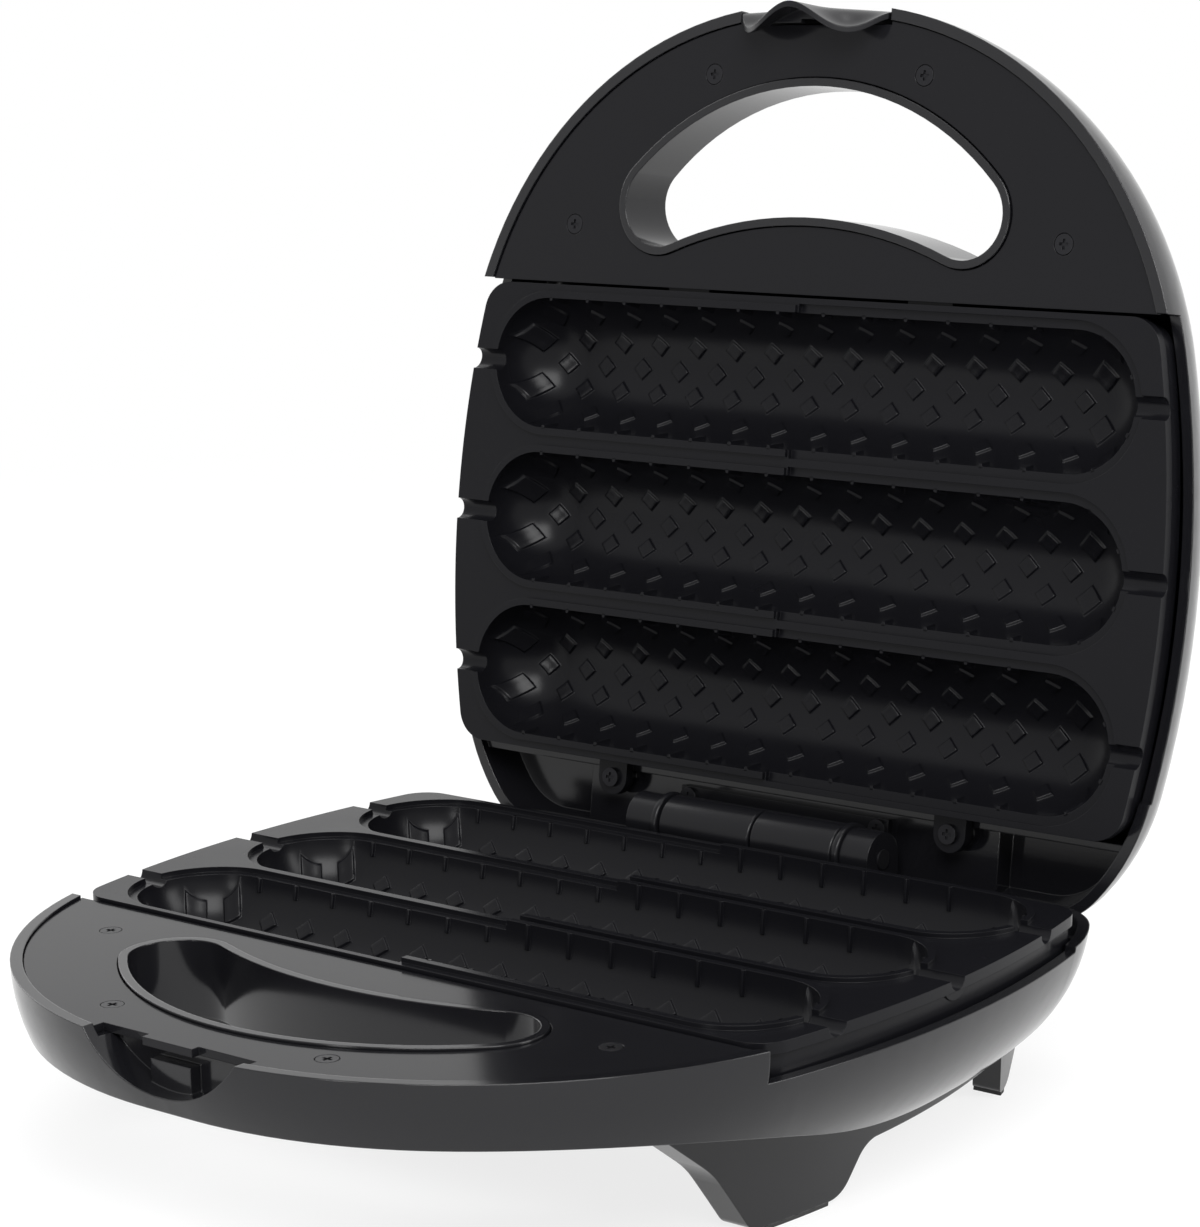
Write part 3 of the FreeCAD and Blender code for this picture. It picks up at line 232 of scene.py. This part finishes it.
PLATE_HALF_WIDTH = 117.3 * MM
PLATE_HALF_DEPTH = 66.5 * MM
PLATE_SIDE_RADIUS = 300 * MM
PLATE_CORNER_RADIUS = 9 * MM
FACE_GAP = 0.15 * MM
FLANGE = 3 * MM
SKIRT = 9 * MM
SKIRT_INSET = 1 * MM
PLATE_WALL = 2.5 * MM
PITCH = 44 * MM
CAVITY_RADIUS = 18.5 * MM
CAVITY_REACH = 105 * MM
GROOVE_RADIUS = 2.95 * MM
BEAD_WIDTH = 2 * MM
BEAD_HEIGHT = 1.2 * MM
BEAD_PLAY = 0.35 * MM
LUG = Vector((57, 71.7, 5)) * MM
LUG_RADIUS = 5 * MM
LUG_THICK = 3 * MM
TONGUE_REACH = 40 * MM
TONGUE_HALF = 7 * MM
TONGUE_LENGTH = 4 * MM
TONGUE_FACE = 3.3 * MM
TONGUE_THICK = 2.5 * MM
SCREW_BORE = 1.65 * MM
SPINE_DEPTH = 1.2 * MM
SPINE_SHORT_MIDDLE = 0.6 * MM
SPINE_SHORT_OUTER = 4.8 * MM
STICK_CUT = 0.2
SKIN = 0.01 * MM
BODY_SMOOTH = 32
CAVITY_TURNS = 24
CAVITY_RINGS = 20
UNDER_TURNS = 20
UNDER_RINGS = 12
SPINE_SIDES = 16
BORE_SIDES = 24
PAD_PITCH = 13.3 * MM
PAD_ROW = 7.05 * MM
PAD_SHIFT = {"lower_plate": -0.85 * MM, "upper_plate": 0.5 * MM}
PAD_HALF = 3.5 * MM
PAD_END_HALF = 4.3 * MM
PAD_ROWS = 2
PAD_COLUMNS = 10
PAD_STEPS = 4
PAD_SMOOTH = 50
PAD_WELD = 0.004 * MM
# In millimetres: the foot of a pad under the wall of the cavity, and the steps of its edge,
# each with how far in from the outline it is and how high above the wall
PAD_FOOT = -0.3
PAD_EDGE = ((0.0, 0.0), (0.08, 0.02), (0.18, 0.14), (0.34, 0.62), (0.44, 0.74), (0.56, 0.78))
RIB_HALF = 0.6 * MM
RIB_TIP = 17.7 * MM
RIM_SLOPE = 3.0
FINE = 1.0 * MM
MEDIAL = CAVITY_REACH - CAVITY_RADIUS
ROWS = (-PITCH, 0.0, PITCH)


def plate_outline(inset):
    """Outline of the plate, drawn in by an inset."""
    radius = PLATE_SIDE_RADIUS - inset
    side_x = PLATE_HALF_WIDTH - PLATE_SIDE_RADIUS
    corner = PLATE_CORNER_RADIUS - inset
    half = PLATE_HALF_DEPTH - inset
    centre_y = half - corner
    centre_x = side_x + math.sqrt((radius - corner) ** 2 - centre_y ** 2)
    angle = math.degrees(math.atan2(centre_y, centre_x - side_x))
    right = arc(centre_x, -centre_y, corner, -90, -angle, FINE)
    right += arc(side_x, 0, radius, -angle, angle, 4 * FINE)
    right += arc(centre_x, centre_y, corner, angle, 90, FINE)
    return mirrored(right)


def pill_outline(radius, y):
    """Outline round the mouth of a cavity."""
    return mirrored(arc(MEDIAL, y, radius, -90, 90, FINE))


def pill_loop(count):
    """Points (x, ux, uy) round a pill: the centre each belongs to and its way outwards."""
    loop = [(MEDIAL, math.cos(a), math.sin(a)) for a in
            (math.radians(-90 + 180 * i / count) for i in range(count + 1))]
    return loop + [(-x, -ux, -uy) for x, ux, uy in loop]


def cavity_cutter(y0):
    """Closed body that hollows one cavity: half a bar with ball ends, and up past the face."""
    loop = pill_loop(CAVITY_TURNS)
    levels = [(1.0, -4 * BEAD_HEIGHT)]
    levels += [(math.cos(turn), CAVITY_RADIUS * math.sin(turn)) for turn in
               (math.pi / 2 * ring / CAVITY_RINGS for ring in range(CAVITY_RINGS))]
    points = [(x + ux * CAVITY_RADIUS * flat, y0 + uy * CAVITY_RADIUS * flat, z)
              for flat, z in levels for x, ux, uy in loop]
    around = len(loop)
    faces = []
    for level in range(len(levels) - 1):
        for i in range(around):
            j = (i + 1) % around
            low, high = level * around, (level + 1) * around
            faces.append([low + i, high + i, high + j, low + j])
    faces.append(list(range(around)))
    bottom = len(points)
    points += [(MEDIAL, y0, CAVITY_RADIUS), (-MEDIAL, y0, CAVITY_RADIUS)]
    last = (len(levels) - 1) * around
    for i in range(around):
        j = (i + 1) % around
        near = bottom if i <= CAVITY_TURNS else bottom + 1
        far = bottom if j <= CAVITY_TURNS else bottom + 1
        corners = [last + i, near, far, last + j]
        faces.append([c for k, c in enumerate(corners) if c != corners[k - 1]])
    mesh = mesh_from(points, faces)
    fix_normals(mesh)
    return mesh


def wall_point(x, y, y0, height, rim):
    """Point of the cavity wall under a place of the face, raised off the wall by a height."""
    near = max(-MEDIAL, min(MEDIAL, x))
    away = math.hypot(x - near, y)
    ux, uy = ((x - near) / away, y / away) if away > 0 else (0.0, 1.0)
    reach = CAVITY_RADIUS - height
    flat = min(1.0, away / CAVITY_RADIUS)
    depth = reach * math.sqrt(1 - flat * flat) - RIM_SLOPE * max(0.0, away - CAVITY_RADIUS)
    return (near + ux * reach * flat, y0 + uy * reach * flat, max(rim, depth))


def raised_pad(place, y0, rim):
    """Closed flat topped pad; place gives a point of its outline drawn in by an inset."""
    steps = PAD_STEPS
    edge = [(i, 0) for i in range(steps)] + [(steps, j) for j in range(steps)]
    edge += [(steps - i, steps) for i in range(steps)] + [(0, steps - j) for j in range(steps)]
    grid = [(i, j) for i in range(steps + 1) for j in range(steps + 1)]
    points = []

    def level(cells, inset, height):
        start = len(points)
        for i, j in cells:
            x, y = place(2 * i / steps - 1, 2 * j / steps - 1, inset * MM)
            points.append(wall_point(x, y, y0, height * MM, rim))
        return [start + n for n in range(len(cells))]

    foot = level(grid, 0.0, PAD_FOOT)
    rings = [[foot[grid.index(cell)] for cell in edge]]
    rings += [level(edge, inset, height) for inset, height in PAD_EDGE[:-1]]
    top = level(grid, *PAD_EDGE[-1])
    rings.append([top[grid.index(cell)] for cell in edge])
    faces = []
    for low, high in zip(rings, rings[1:]):
        for i in range(len(edge)):
            j = (i + 1) % len(edge)
            faces.append([low[i], low[j], high[j], high[i]])
    for cells, turn in ((foot, -1), (top, 1)):
        for i in range(steps):
            for j in range(steps):
                a = i * (steps + 1) + j
                b = a + steps + 1
                faces.append([cells[a], cells[b], cells[b + 1], cells[a + 1]][::turn])
    return points, faces


def diamond(cx, cy, half):
    """Outline of a pad on the straight of a cavity: its size is measured along the wall."""
    turn = math.asin(cy / CAVITY_RADIUS)

    def place(u, v, inset):
        reach = half - inset * math.sqrt(2)
        return (cx + reach * (u + v) / 2,
                CAVITY_RADIUS * math.sin(turn + reach * (u - v) / 2 / CAVITY_RADIUS))
    return place


def end_diamond(cx, cy, half):
    """Outline of a pad in the ball end of a cavity: its size is measured square to the face."""
    def place(u, v, inset):
        reach = half - inset * math.sqrt(2)
        return cx + reach * (u + v) / 2, cy + reach * (u - v) / 2
    return place


def rim_rib(cx, side):
    """Outline of a short rib that runs down the wall from the rim."""
    tip = side * RIB_TIP
    end = side * (CAVITY_RADIUS + 2 * BEAD_WIDTH)

    def place(u, v, inset):
        return cx + (RIB_HALF - inset / 2) * u, (tip + end) / 2 + (end - tip) / 2 * v
    return place


def pads_of_cavity(y0, shift):
    """The raised pads and rim ribs of one cavity, left out where the stick goes."""
    parts = []
    columns = [column * PAD_PITCH + shift for column in range(-PAD_COLUMNS, PAD_COLUMNS + 1)]
    for row in range(-PAD_ROWS, PAD_ROWS + 1):
        y = row * PAD_ROW
        for x in columns:
            x += PAD_PITCH / 2 if row % 2 else 0.0
            over = max(0.0, abs(x) - MEDIAL)
            if math.hypot(over, y) > CAVITY_RADIUS:
                continue
            if row == 0 and (x > MEDIAL or over > PAD_PITCH / 2):
                continue
            if over:
                parts.append((x, end_diamond(x, y, PAD_END_HALF if row % 2 else PAD_HALF)))
            else:
                parts.append((x, diamond(x, y, PAD_HALF)))
    for x in columns:
        x += PAD_PITCH / 2
        if abs(x) < MEDIAL:
            parts += [(x, rim_rib(x, -1)), (x, rim_rib(x, 1))]
    return parts


def relief(shift):
    """One mesh with the pads of the three cavities."""
    points = []
    faces = []
    for y0 in ROWS:
        for x, place in pads_of_cavity(y0, shift):
            rim = FACE_GAP - BEAD_HEIGHT if x < 0 else BEAD_HEIGHT + BEAD_PLAY
            more_points, more_faces = raised_pad(place, y0, rim)
            base = len(points)
            points += more_points
            faces += [[base + corner for corner in face] for face in more_faces]
    mesh = mesh_from(points, faces)
    work = bmesh.new()
    work.from_mesh(mesh)
    bmesh.ops.dissolve_degenerate(work, edges=work.edges, dist=PAD_WELD)
    bmesh.ops.recalc_face_normals(work, faces=work.faces)
    work.to_mesh(mesh)
    work.free()
    smooth(mesh, PAD_SMOOTH)
    return mesh


def outer_pill(radius, y):
    """Closed capsule of the underside of a cavity, from just under the face down."""
    points = []
    loop = pill_loop(UNDER_TURNS)
    for ring in range(UNDER_RINGS):
        tilt = math.pi / 2 * ring / UNDER_RINGS
        for x, ux, uy in loop:
            flat = radius * math.cos(tilt)
            points.append((x + ux * flat, y + uy * flat,
                           max(FACE_GAP + FINE, radius * math.sin(tilt))))
    count = len(loop)
    faces = []
    for ring in range(UNDER_RINGS - 1):
        low, high = ring * count, (ring + 1) * count
        for i in range(count):
            j = (i + 1) % count
            faces.append([low + i, high + i, high + j, low + j])
    faces.append(list(range(count)))
    faces.append([(UNDER_RINGS - 1) * count + i for i in range(count)][::-1])
    mesh = mesh_from(points, faces)
    fix_normals(mesh)
    return mesh


def sorted_left(outline, y):
    """Left hand end of a pill outline from its top round to its bottom."""
    return sorted(outline, key=lambda p: math.atan2(p[1] - y, -(p[0] + MEDIAL)), reverse=True)


def spine(side, y0):
    """Half round bar under the face that carries one stick groove."""
    radius = GROOVE_RADIUS + PLATE_WALL
    outline = [(y0 + radius * math.cos(a), max(FACE_GAP + SPINE_DEPTH, radius * math.sin(a)))
               for a in (math.pi * i / SPINE_SIDES for i in range(SPINE_SIDES + 1))]
    end_x = PLATE_HALF_WIDTH - (SPINE_SHORT_OUTER if y0 else SPINE_SHORT_MIDDLE)
    return bar(outline, side * MEDIAL, side * end_x)


def bead(y):
    """Raised bead round the left half of a cavity mouth."""
    outline = [p for p in pill_outline(CAVITY_RADIUS + BEAD_WIDTH, y) if p[0] < -BEAD_PLAY]
    top = max(p[1] for p in outline)
    bottom = min(p[1] for p in outline)
    outline = [(-BEAD_PLAY, top)] + sorted_left(outline, y) + [(-BEAD_PLAY, bottom)]
    return prism(outline, FACE_GAP - BEAD_HEIGHT, FACE_GAP + BEAD_PLAY)


def rabbet(y):
    """Cutter of the step round the right half of a cavity mouth, where the other bead goes."""
    outline = [p for p in pill_outline(CAVITY_RADIUS + BEAD_WIDTH + BEAD_PLAY, y) if p[0] > 0]
    top = max(p[1] for p in outline)
    bottom = min(p[1] for p in outline)
    outline = [(0.0, bottom)] + [p for p in outline if p[0] > SAME_POINT] + [(0.0, top)]
    return prism(outline, -2 * BEAD_HEIGHT, BEAD_HEIGHT + BEAD_PLAY)


def cooking_plate():
    """The casting without its pads: plate, skirt, cavities, spines, lugs, tongues and beads."""
    body = prism(plate_outline(0), FACE_GAP, FLANGE)
    ring = combine(prism(plate_outline(SKIRT_INSET), FACE_GAP + FLANGE / 3, SKIRT), "DIFFERENCE",
                   [prism(plate_outline(SKIRT_INSET + PLATE_WALL), FLANGE, 2 * SKIRT)])
    adds = [ring]
    inner_y = PLATE_HALF_DEPTH - SKIRT_INSET - PLATE_WALL / 2
    for y in ROWS:
        adds.append(outer_pill(CAVITY_RADIUS + PLATE_WALL, y))
        adds += [spine(side, y) for side in (-1, 1)]
    for side in (-1, 1):
        x = side * LUG.x
        adds.append(cylinder(LUG_RADIUS, (x, LUG.y, LUG.z), (0, 0, 1), LUG_THICK))
        adds.append(block(x - LUG_RADIUS, x + LUG_RADIUS, inner_y, LUG.y,
                          LUG.z + SKIN, LUG.z + LUG_THICK - SKIN))
        x = side * TONGUE_REACH
        adds.append(block(x - TONGUE_HALF, x + TONGUE_HALF,
                          -PLATE_HALF_DEPTH - TONGUE_LENGTH, -inner_y,
                          TONGUE_FACE, TONGUE_FACE + TONGUE_THICK))
    adds += [bead(y) for y in ROWS]
    body = combine(body, "UNION", adds)
    tools = []
    for y in ROWS:
        tools.append(cavity_cutter(y))
        tools.append(cylinder(GROOVE_RADIUS, (-STICK_CUT, y, 0), (1, 0, 0), 2 * STICK_CUT))
        tools.append(block(-STICK_CUT, STICK_CUT, y - GROOVE_RADIUS, y + GROOVE_RADIUS,
                           -3 * BEAD_HEIGHT, 0))
        tools.append(rabbet(y))
    for side in (-1, 1):
        tools.append(cylinder(SCREW_BORE, (side * LUG.x, LUG.y, 0), (0, 0, 1), 2 * SKIRT,
                              BORE_SIDES))
    for tool in tools:
        body = combine(body, "DIFFERENCE", [tool])
    smooth(body, BODY_SMOOTH)
    return body


def with_pads(body, shift):
    """Copy of the casting with its pads."""
    mesh = body.copy()
    work = bmesh.new()
    work.from_mesh(body)
    work.from_mesh(relief(shift))
    work.to_mesh(mesh)
    work.free()
    return mesh


# Materials: every one is procedural and reads object coordinates only

COAT_ROUGHNESS = 0.04
BLOTCH_SCALE = 38.0
BLOTCH_DETAIL = 4.0
GRAIN_DETAIL = 3.0
EDGE_SAMPLES = 6


def material(name, colour, roughness, grain, metallic=0.0, coat=0.0, specular=0.5,
             variation=0.0, edge=0.0):
    """Shader with rounded edges, a fine grain, and a little change of roughness."""
    item = bpy.data.materials.new(name)
    item.use_nodes = True
    nodes = item.node_tree.nodes
    links = item.node_tree.links
    shader = nodes["Principled BSDF"]
    shader.inputs["Base Color"].default_value = (*colour, 1)
    shader.inputs["Roughness"].default_value = roughness
    shader.inputs["Metallic"].default_value = metallic
    shader.inputs["Coat Weight"].default_value = coat
    shader.inputs["Coat Roughness"].default_value = COAT_ROUGHNESS
    shader.inputs["Specular IOR Level"].default_value = specular
    place = nodes.new("ShaderNodeTexCoord")
    if variation:
        blotch = nodes.new("ShaderNodeTexNoise")
        blotch.inputs["Scale"].default_value = BLOTCH_SCALE
        blotch.inputs["Detail"].default_value = BLOTCH_DETAIL
        links.new(place.outputs["Object"], blotch.inputs["Vector"])
        spread = nodes.new("ShaderNodeMapRange")
        spread.inputs["To Min"].default_value = roughness - variation
        spread.inputs["To Max"].default_value = roughness + variation
        links.new(blotch.outputs["Fac"], spread.inputs["Value"])
        links.new(spread.outputs["Result"], shader.inputs["Roughness"])
    scale, depth = grain
    noise = nodes.new("ShaderNodeTexNoise")
    noise.inputs["Scale"].default_value = scale
    noise.inputs["Detail"].default_value = GRAIN_DETAIL
    links.new(place.outputs["Object"], noise.inputs["Vector"])
    bump = nodes.new("ShaderNodeBump")
    bump.inputs["Strength"].default_value = 1.0
    bump.inputs["Distance"].default_value = depth
    links.new(noise.outputs["Fac"], bump.inputs["Height"])
    links.new(bump.outputs["Normal"], shader.inputs["Normal"])
    if edge:
        rounding = nodes.new("ShaderNodeBevel")
        rounding.samples = EDGE_SAMPLES
        rounding.inputs["Radius"].default_value = edge
        links.new(rounding.outputs["Normal"], bump.inputs["Normal"])
    return item


looks = {
    "shell": material("shell_gloss_black", (0.005, 0.005, 0.006), 0.13, (700, 0.000004),
                      specular=0.37, variation=0.03, edge=0.5 * MM),
    "cover": material("cover_satin_black", (0.006, 0.006, 0.007), 0.13, (2600, 0.000004),
                      specular=0.14, variation=0.02, edge=0.35 * MM),
    "plate_coating": material("non_stick_coating", (0.004, 0.004, 0.005), 0.26, (3200, 0.00001),
                              specular=0.13, variation=0.04, edge=0.2 * MM),
    "black_steel": material("blackened_screws", (0.02, 0.02, 0.022), 0.32, (1500, 0.00001),
                            metallic=0.7, specular=0.1, edge=0.15 * MM),
    "hinge_plastic": material("hinge_black", (0.005, 0.005, 0.006), 0.26, (1200, 0.00001),
                              specular=0.18, variation=0.04, edge=0.4 * MM),
    "steel": material("plain_steel", (0.55, 0.55, 0.56), 0.28, (2000, 0.00001), metallic=1.0),
    "element": material("element_sheath", (0.22, 0.21, 0.2), 0.45, (1800, 0.00002),
                        metallic=0.9, variation=0.1),
    "shield": material("shield_sheet", (0.6, 0.6, 0.61), 0.35, (1400, 0.00002), metallic=1.0),
    "foot_rubber": material("foot_rubber", (0.015, 0.015, 0.015), 0.75, (1600, 0.00006)),
    "lens_red": material("lens_red", (0.45, 0.01, 0.01), 0.1, (600, 0.00002), coat=0.3),
    "lens_green": material("lens_green", (0.01, 0.5, 0.28), 0.1, (600, 0.00002), coat=0.3),
    "neon": material("neon_glass", (0.6, 0.35, 0.2), 0.1, (600, 0.00001)),
    "ceramic": material("white_ceramic", (0.75, 0.73, 0.68), 0.5, (1200, 0.00004)),
}
slot_of = {part["node"]: part["material_slot"] for part in frame["record"]["subparts"]}
for name, item in frame["nodes"].items():
    item.data.materials.clear()
    item.data.materials.append(looks[slot_of[name]])

casting = cooking_plate()
for name, body, half in (("lower_plate", "base", BASE), ("upper_plate", "lid", LID)):
    mesh = with_pads(casting, PAD_SHIFT[name])
    mesh.transform(half)
    piece = new_object(name + "_cast", mesh, body, looks["plate_coating"])
    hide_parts(name)


# Hinge: two sleeves on the turning barrel, a ring at each end of it, and the two end blocks

SLEEVE_RADIUS = 7.85 * MM
BARREL_SKIN = 6.35 * MM
BARREL_END = 28.9 * MM
SEAM_AT = 2.0 * MM
SEAM_HALF = 0.3 * MM
RING_RADIUS = 8.4 * MM
RING_START = 29.55 * MM
RING_END = 31.5 * MM
CAP_SKIN = 5.1 * MM
BLOCK_RADIUS = 7.3 * MM
BLOCK_START = 31.7 * MM
BLOCK_END = 40.7 * MM
BLOCK_FOOT = 5.4 * MM
HEAD_RADIUS = 2.7 * MM
HEAD_THICK = 0.7 * MM
HEAD_SIDES = 40
ROUND_OFF = 0.6 * MM
ROUND_STEPS = 6
TURN_SIDES = 96
BLOCK_SIDES = 24
HINGE_SMOOTH = 35
AXLE = Vector(hinge_joint["pos_m"])


def turned(profile):
    """Closed body turned about the hinge axis from a closed profile of (x, radius)."""
    rows = len(profile)
    turns = [2 * math.pi * i / TURN_SIDES for i in range(TURN_SIDES)]
    points = [(AXLE.x + x, AXLE.y + radius * math.cos(a), AXLE.z + radius * math.sin(a))
              for a in turns for x, radius in profile]
    faces = []
    for i in range(TURN_SIDES):
        here, there = i * rows, (i + 1) % TURN_SIDES * rows
        for j in range(rows):
            k = (j + 1) % rows
            faces.append([here + j, here + k, there + k, there + j])
    mesh = mesh_from(points, faces)
    fix_normals(mesh)
    smooth(mesh, HINGE_SMOOTH)
    return mesh


def tube(low, high, inner, outer):
    """Profile of a tube whose outer edges are rounded off."""
    turns = [math.radians(90 * i / ROUND_STEPS) for i in range(ROUND_STEPS + 1)]
    steps = [(ROUND_OFF * (1 - math.sin(a)), ROUND_OFF * (1 - math.cos(a))) for a in turns]
    left = [(low + along, outer - down) for along, down in reversed(steps)]
    right = [(high - along, outer - down) for along, down in steps]
    return [(low, inner)] + left + right + [(high, inner)]


def end_block(side):
    """End block of the hinge: a round top over short legs, seen as an arch from its end."""
    arch = [(BLOCK_RADIUS * math.cos(a), BLOCK_RADIUS * math.sin(a))
            for a in (math.radians(180 - 180 * i / BLOCK_SIDES) for i in range(BLOCK_SIDES + 1))]
    outline = [(-BLOCK_RADIUS, -BLOCK_FOOT)] + arch + [(BLOCK_RADIUS, -BLOCK_FOOT)]
    mesh = bar([(AXLE.y + y, AXLE.z + z) for y, z in outline],
               AXLE.x + side * BLOCK_START, AXLE.x + side * BLOCK_END)
    smooth(mesh, HINGE_SMOOTH)
    return mesh


hinge_pieces = [
    ("hinge_sleeve_left", "lid",
     turned(tube(-BARREL_END, SEAM_AT - SEAM_HALF, BARREL_SKIN, SLEEVE_RADIUS))),
    ("hinge_sleeve_right", "lid",
     turned(tube(SEAM_AT + SEAM_HALF, BARREL_END, BARREL_SKIN, SLEEVE_RADIUS))),
    ("hinge_ring_left", "base", turned(tube(-RING_END, -RING_START, CAP_SKIN, RING_RADIUS))),
    ("hinge_ring_right", "base", turned(tube(RING_START, RING_END, CAP_SKIN, RING_RADIUS))),
    ("hinge_block_left", "base", end_block(-1)),
    ("hinge_block_right", "base", end_block(1)),
]
for name, body, mesh in hinge_pieces:
    new_object(name, mesh, body, looks["hinge_plastic"])
head_spot = AXLE + Vector((BLOCK_END - HEAD_THICK / 2, 0, 0))
head = cylinder(HEAD_RADIUS, head_spot, (1, 0, 0), HEAD_THICK, HEAD_SIDES)
smooth(head)
new_object("hinge_end_screw", head, "base", looks["black_steel"])


# Floor, world and lamps

def seen_rays(tree):
    """One for camera, glossy and transmission rays, nought for the others."""
    path = tree.nodes.new("ShaderNodeLightPath")
    result = path.outputs["Is Camera Ray"]
    for name in ("Is Glossy Ray", "Is Transmission Ray"):
        either = tree.nodes.new("ShaderNodeMath")
        either.operation = "MAXIMUM"
        tree.links.new(result, either.inputs[0])
        tree.links.new(path.outputs[name], either.inputs[1])
        result = either.outputs[0]
    return result


def studio_floor():
    """White floor: what is seen of it is white, and it keeps a soft shadow near the object."""
    item = bpy.data.materials.new("studio_floor")
    item.use_nodes = True
    tree = item.node_tree
    shader = tree.nodes["Principled BSDF"]
    shader.inputs["Base Color"].default_value = FLOOR_COLOUR
    shader.inputs["Roughness"].default_value = FLOOR_ROUGHNESS
    shader.inputs["Specular IOR Level"].default_value = FLOOR_SPECULAR
    place = tree.nodes.new("ShaderNodeTexCoord")
    away = tree.nodes.new("ShaderNodeVectorMath")
    away.operation = "LENGTH"
    tree.links.new(place.outputs["Object"], away.inputs[0])
    share = tree.nodes.new("ShaderNodeMapRange")
    share.inputs["From Min"].default_value = FLOOR_NEAR
    share.inputs["From Max"].default_value = FLOOR_FAR
    share.inputs["To Min"].default_value = FLOOR_GLOW
    share.inputs["To Max"].default_value = 1.0
    tree.links.new(away.outputs["Value"], share.inputs["Value"])
    factor = tree.nodes.new("ShaderNodeMath")
    factor.operation = "MULTIPLY"
    tree.links.new(seen_rays(tree), factor.inputs[0])
    tree.links.new(share.outputs["Result"], factor.inputs[1])
    glow = tree.nodes.new("ShaderNodeEmission")
    glow.inputs["Strength"].default_value = 1.0
    mix = tree.nodes.new("ShaderNodeMixShader")
    tree.links.new(factor.outputs[0], mix.inputs[0])
    tree.links.new(shader.outputs["BSDF"], mix.inputs[1])
    tree.links.new(glow.outputs["Emission"], mix.inputs[2])
    tree.links.new(mix.outputs["Shader"], tree.nodes["Material Output"].inputs["Surface"])
    corners = [(x * FLOOR_REACH, y * FLOOR_REACH, 0) for x, y in
               ((-1, -1), (1, -1), (1, 1), (-1, 1))]
    mesh = mesh_from(corners, [(0, 1, 2, 3)], "studio_floor")
    mesh.materials.append(item)
    floor = bpy.data.objects.new("studio_floor", mesh)
    bpy.context.scene.collection.objects.link(floor)


def studio_world():
    """Plain even light, and white wherever the world itself is seen."""
    world = bpy.data.worlds.new("studio")
    bpy.context.scene.world = world
    world.use_nodes = True
    tree = world.node_tree
    even = tree.nodes["Background"]
    even.inputs["Color"].default_value = WHITE
    even.inputs["Strength"].default_value = WORLD_LIGHT
    white = tree.nodes.new("ShaderNodeBackground")
    white.inputs["Color"].default_value = WHITE
    white.inputs["Strength"].default_value = 1.0
    mix = tree.nodes.new("ShaderNodeMixShader")
    tree.links.new(seen_rays(tree), mix.inputs[0])
    tree.links.new(even.outputs["Background"], mix.inputs[1])
    tree.links.new(white.outputs["Background"], mix.inputs[2])
    tree.links.new(mix.outputs["Shader"], tree.nodes["World Output"].inputs["Surface"])


def softbox(name, spot, width, height, power):
    """Soft lamp that points at the middle of the object."""
    data = bpy.data.lights.new(name, "AREA")
    data.shape = "RECTANGLE"
    data.size = width
    data.size_y = height
    data.energy = power
    item = bpy.data.objects.new(name, data)
    bpy.context.scene.collection.objects.link(item)
    item.location = spot
    item.rotation_euler = (LAMP_AIM - Vector(spot)).to_track_quat("-Z", "Y").to_euler()


WHITE = (1, 1, 1, 1)
FLOOR_COLOUR = (0.9, 0.9, 0.9, 1)
FLOOR_ROUGHNESS = 0.8
FLOOR_SPECULAR = 0.1
FLOOR_REACH = 8.0
FLOOR_NEAR = 0.35
FLOOR_FAR = 1.2
FLOOR_GLOW = 0.8
WORLD_LIGHT = 0.6
LAMP_AIM = Vector((0, 0, 0.12))
# Name, place, width, height and power of each lamp
LAMPS = (
    ("key_box", (0.72, -0.82, 1.1), 1.15, 0.8, 30),
    ("front_box", (0.05, -1.5, 0.25), 0.2, 0.4, 4),
    ("top_box", (0.0, 0.3, 1.4), 0.9, 0.9, 6),
    ("left_box", (-1.2, 0.3, 0.8), 0.5, 0.9, 4),
    ("right_box", (1.15, 0.45, 0.65), 0.5, 0.8, 9),
)
studio_floor()
studio_world()
for lamp in LAMPS:
    softbox(*lamp)
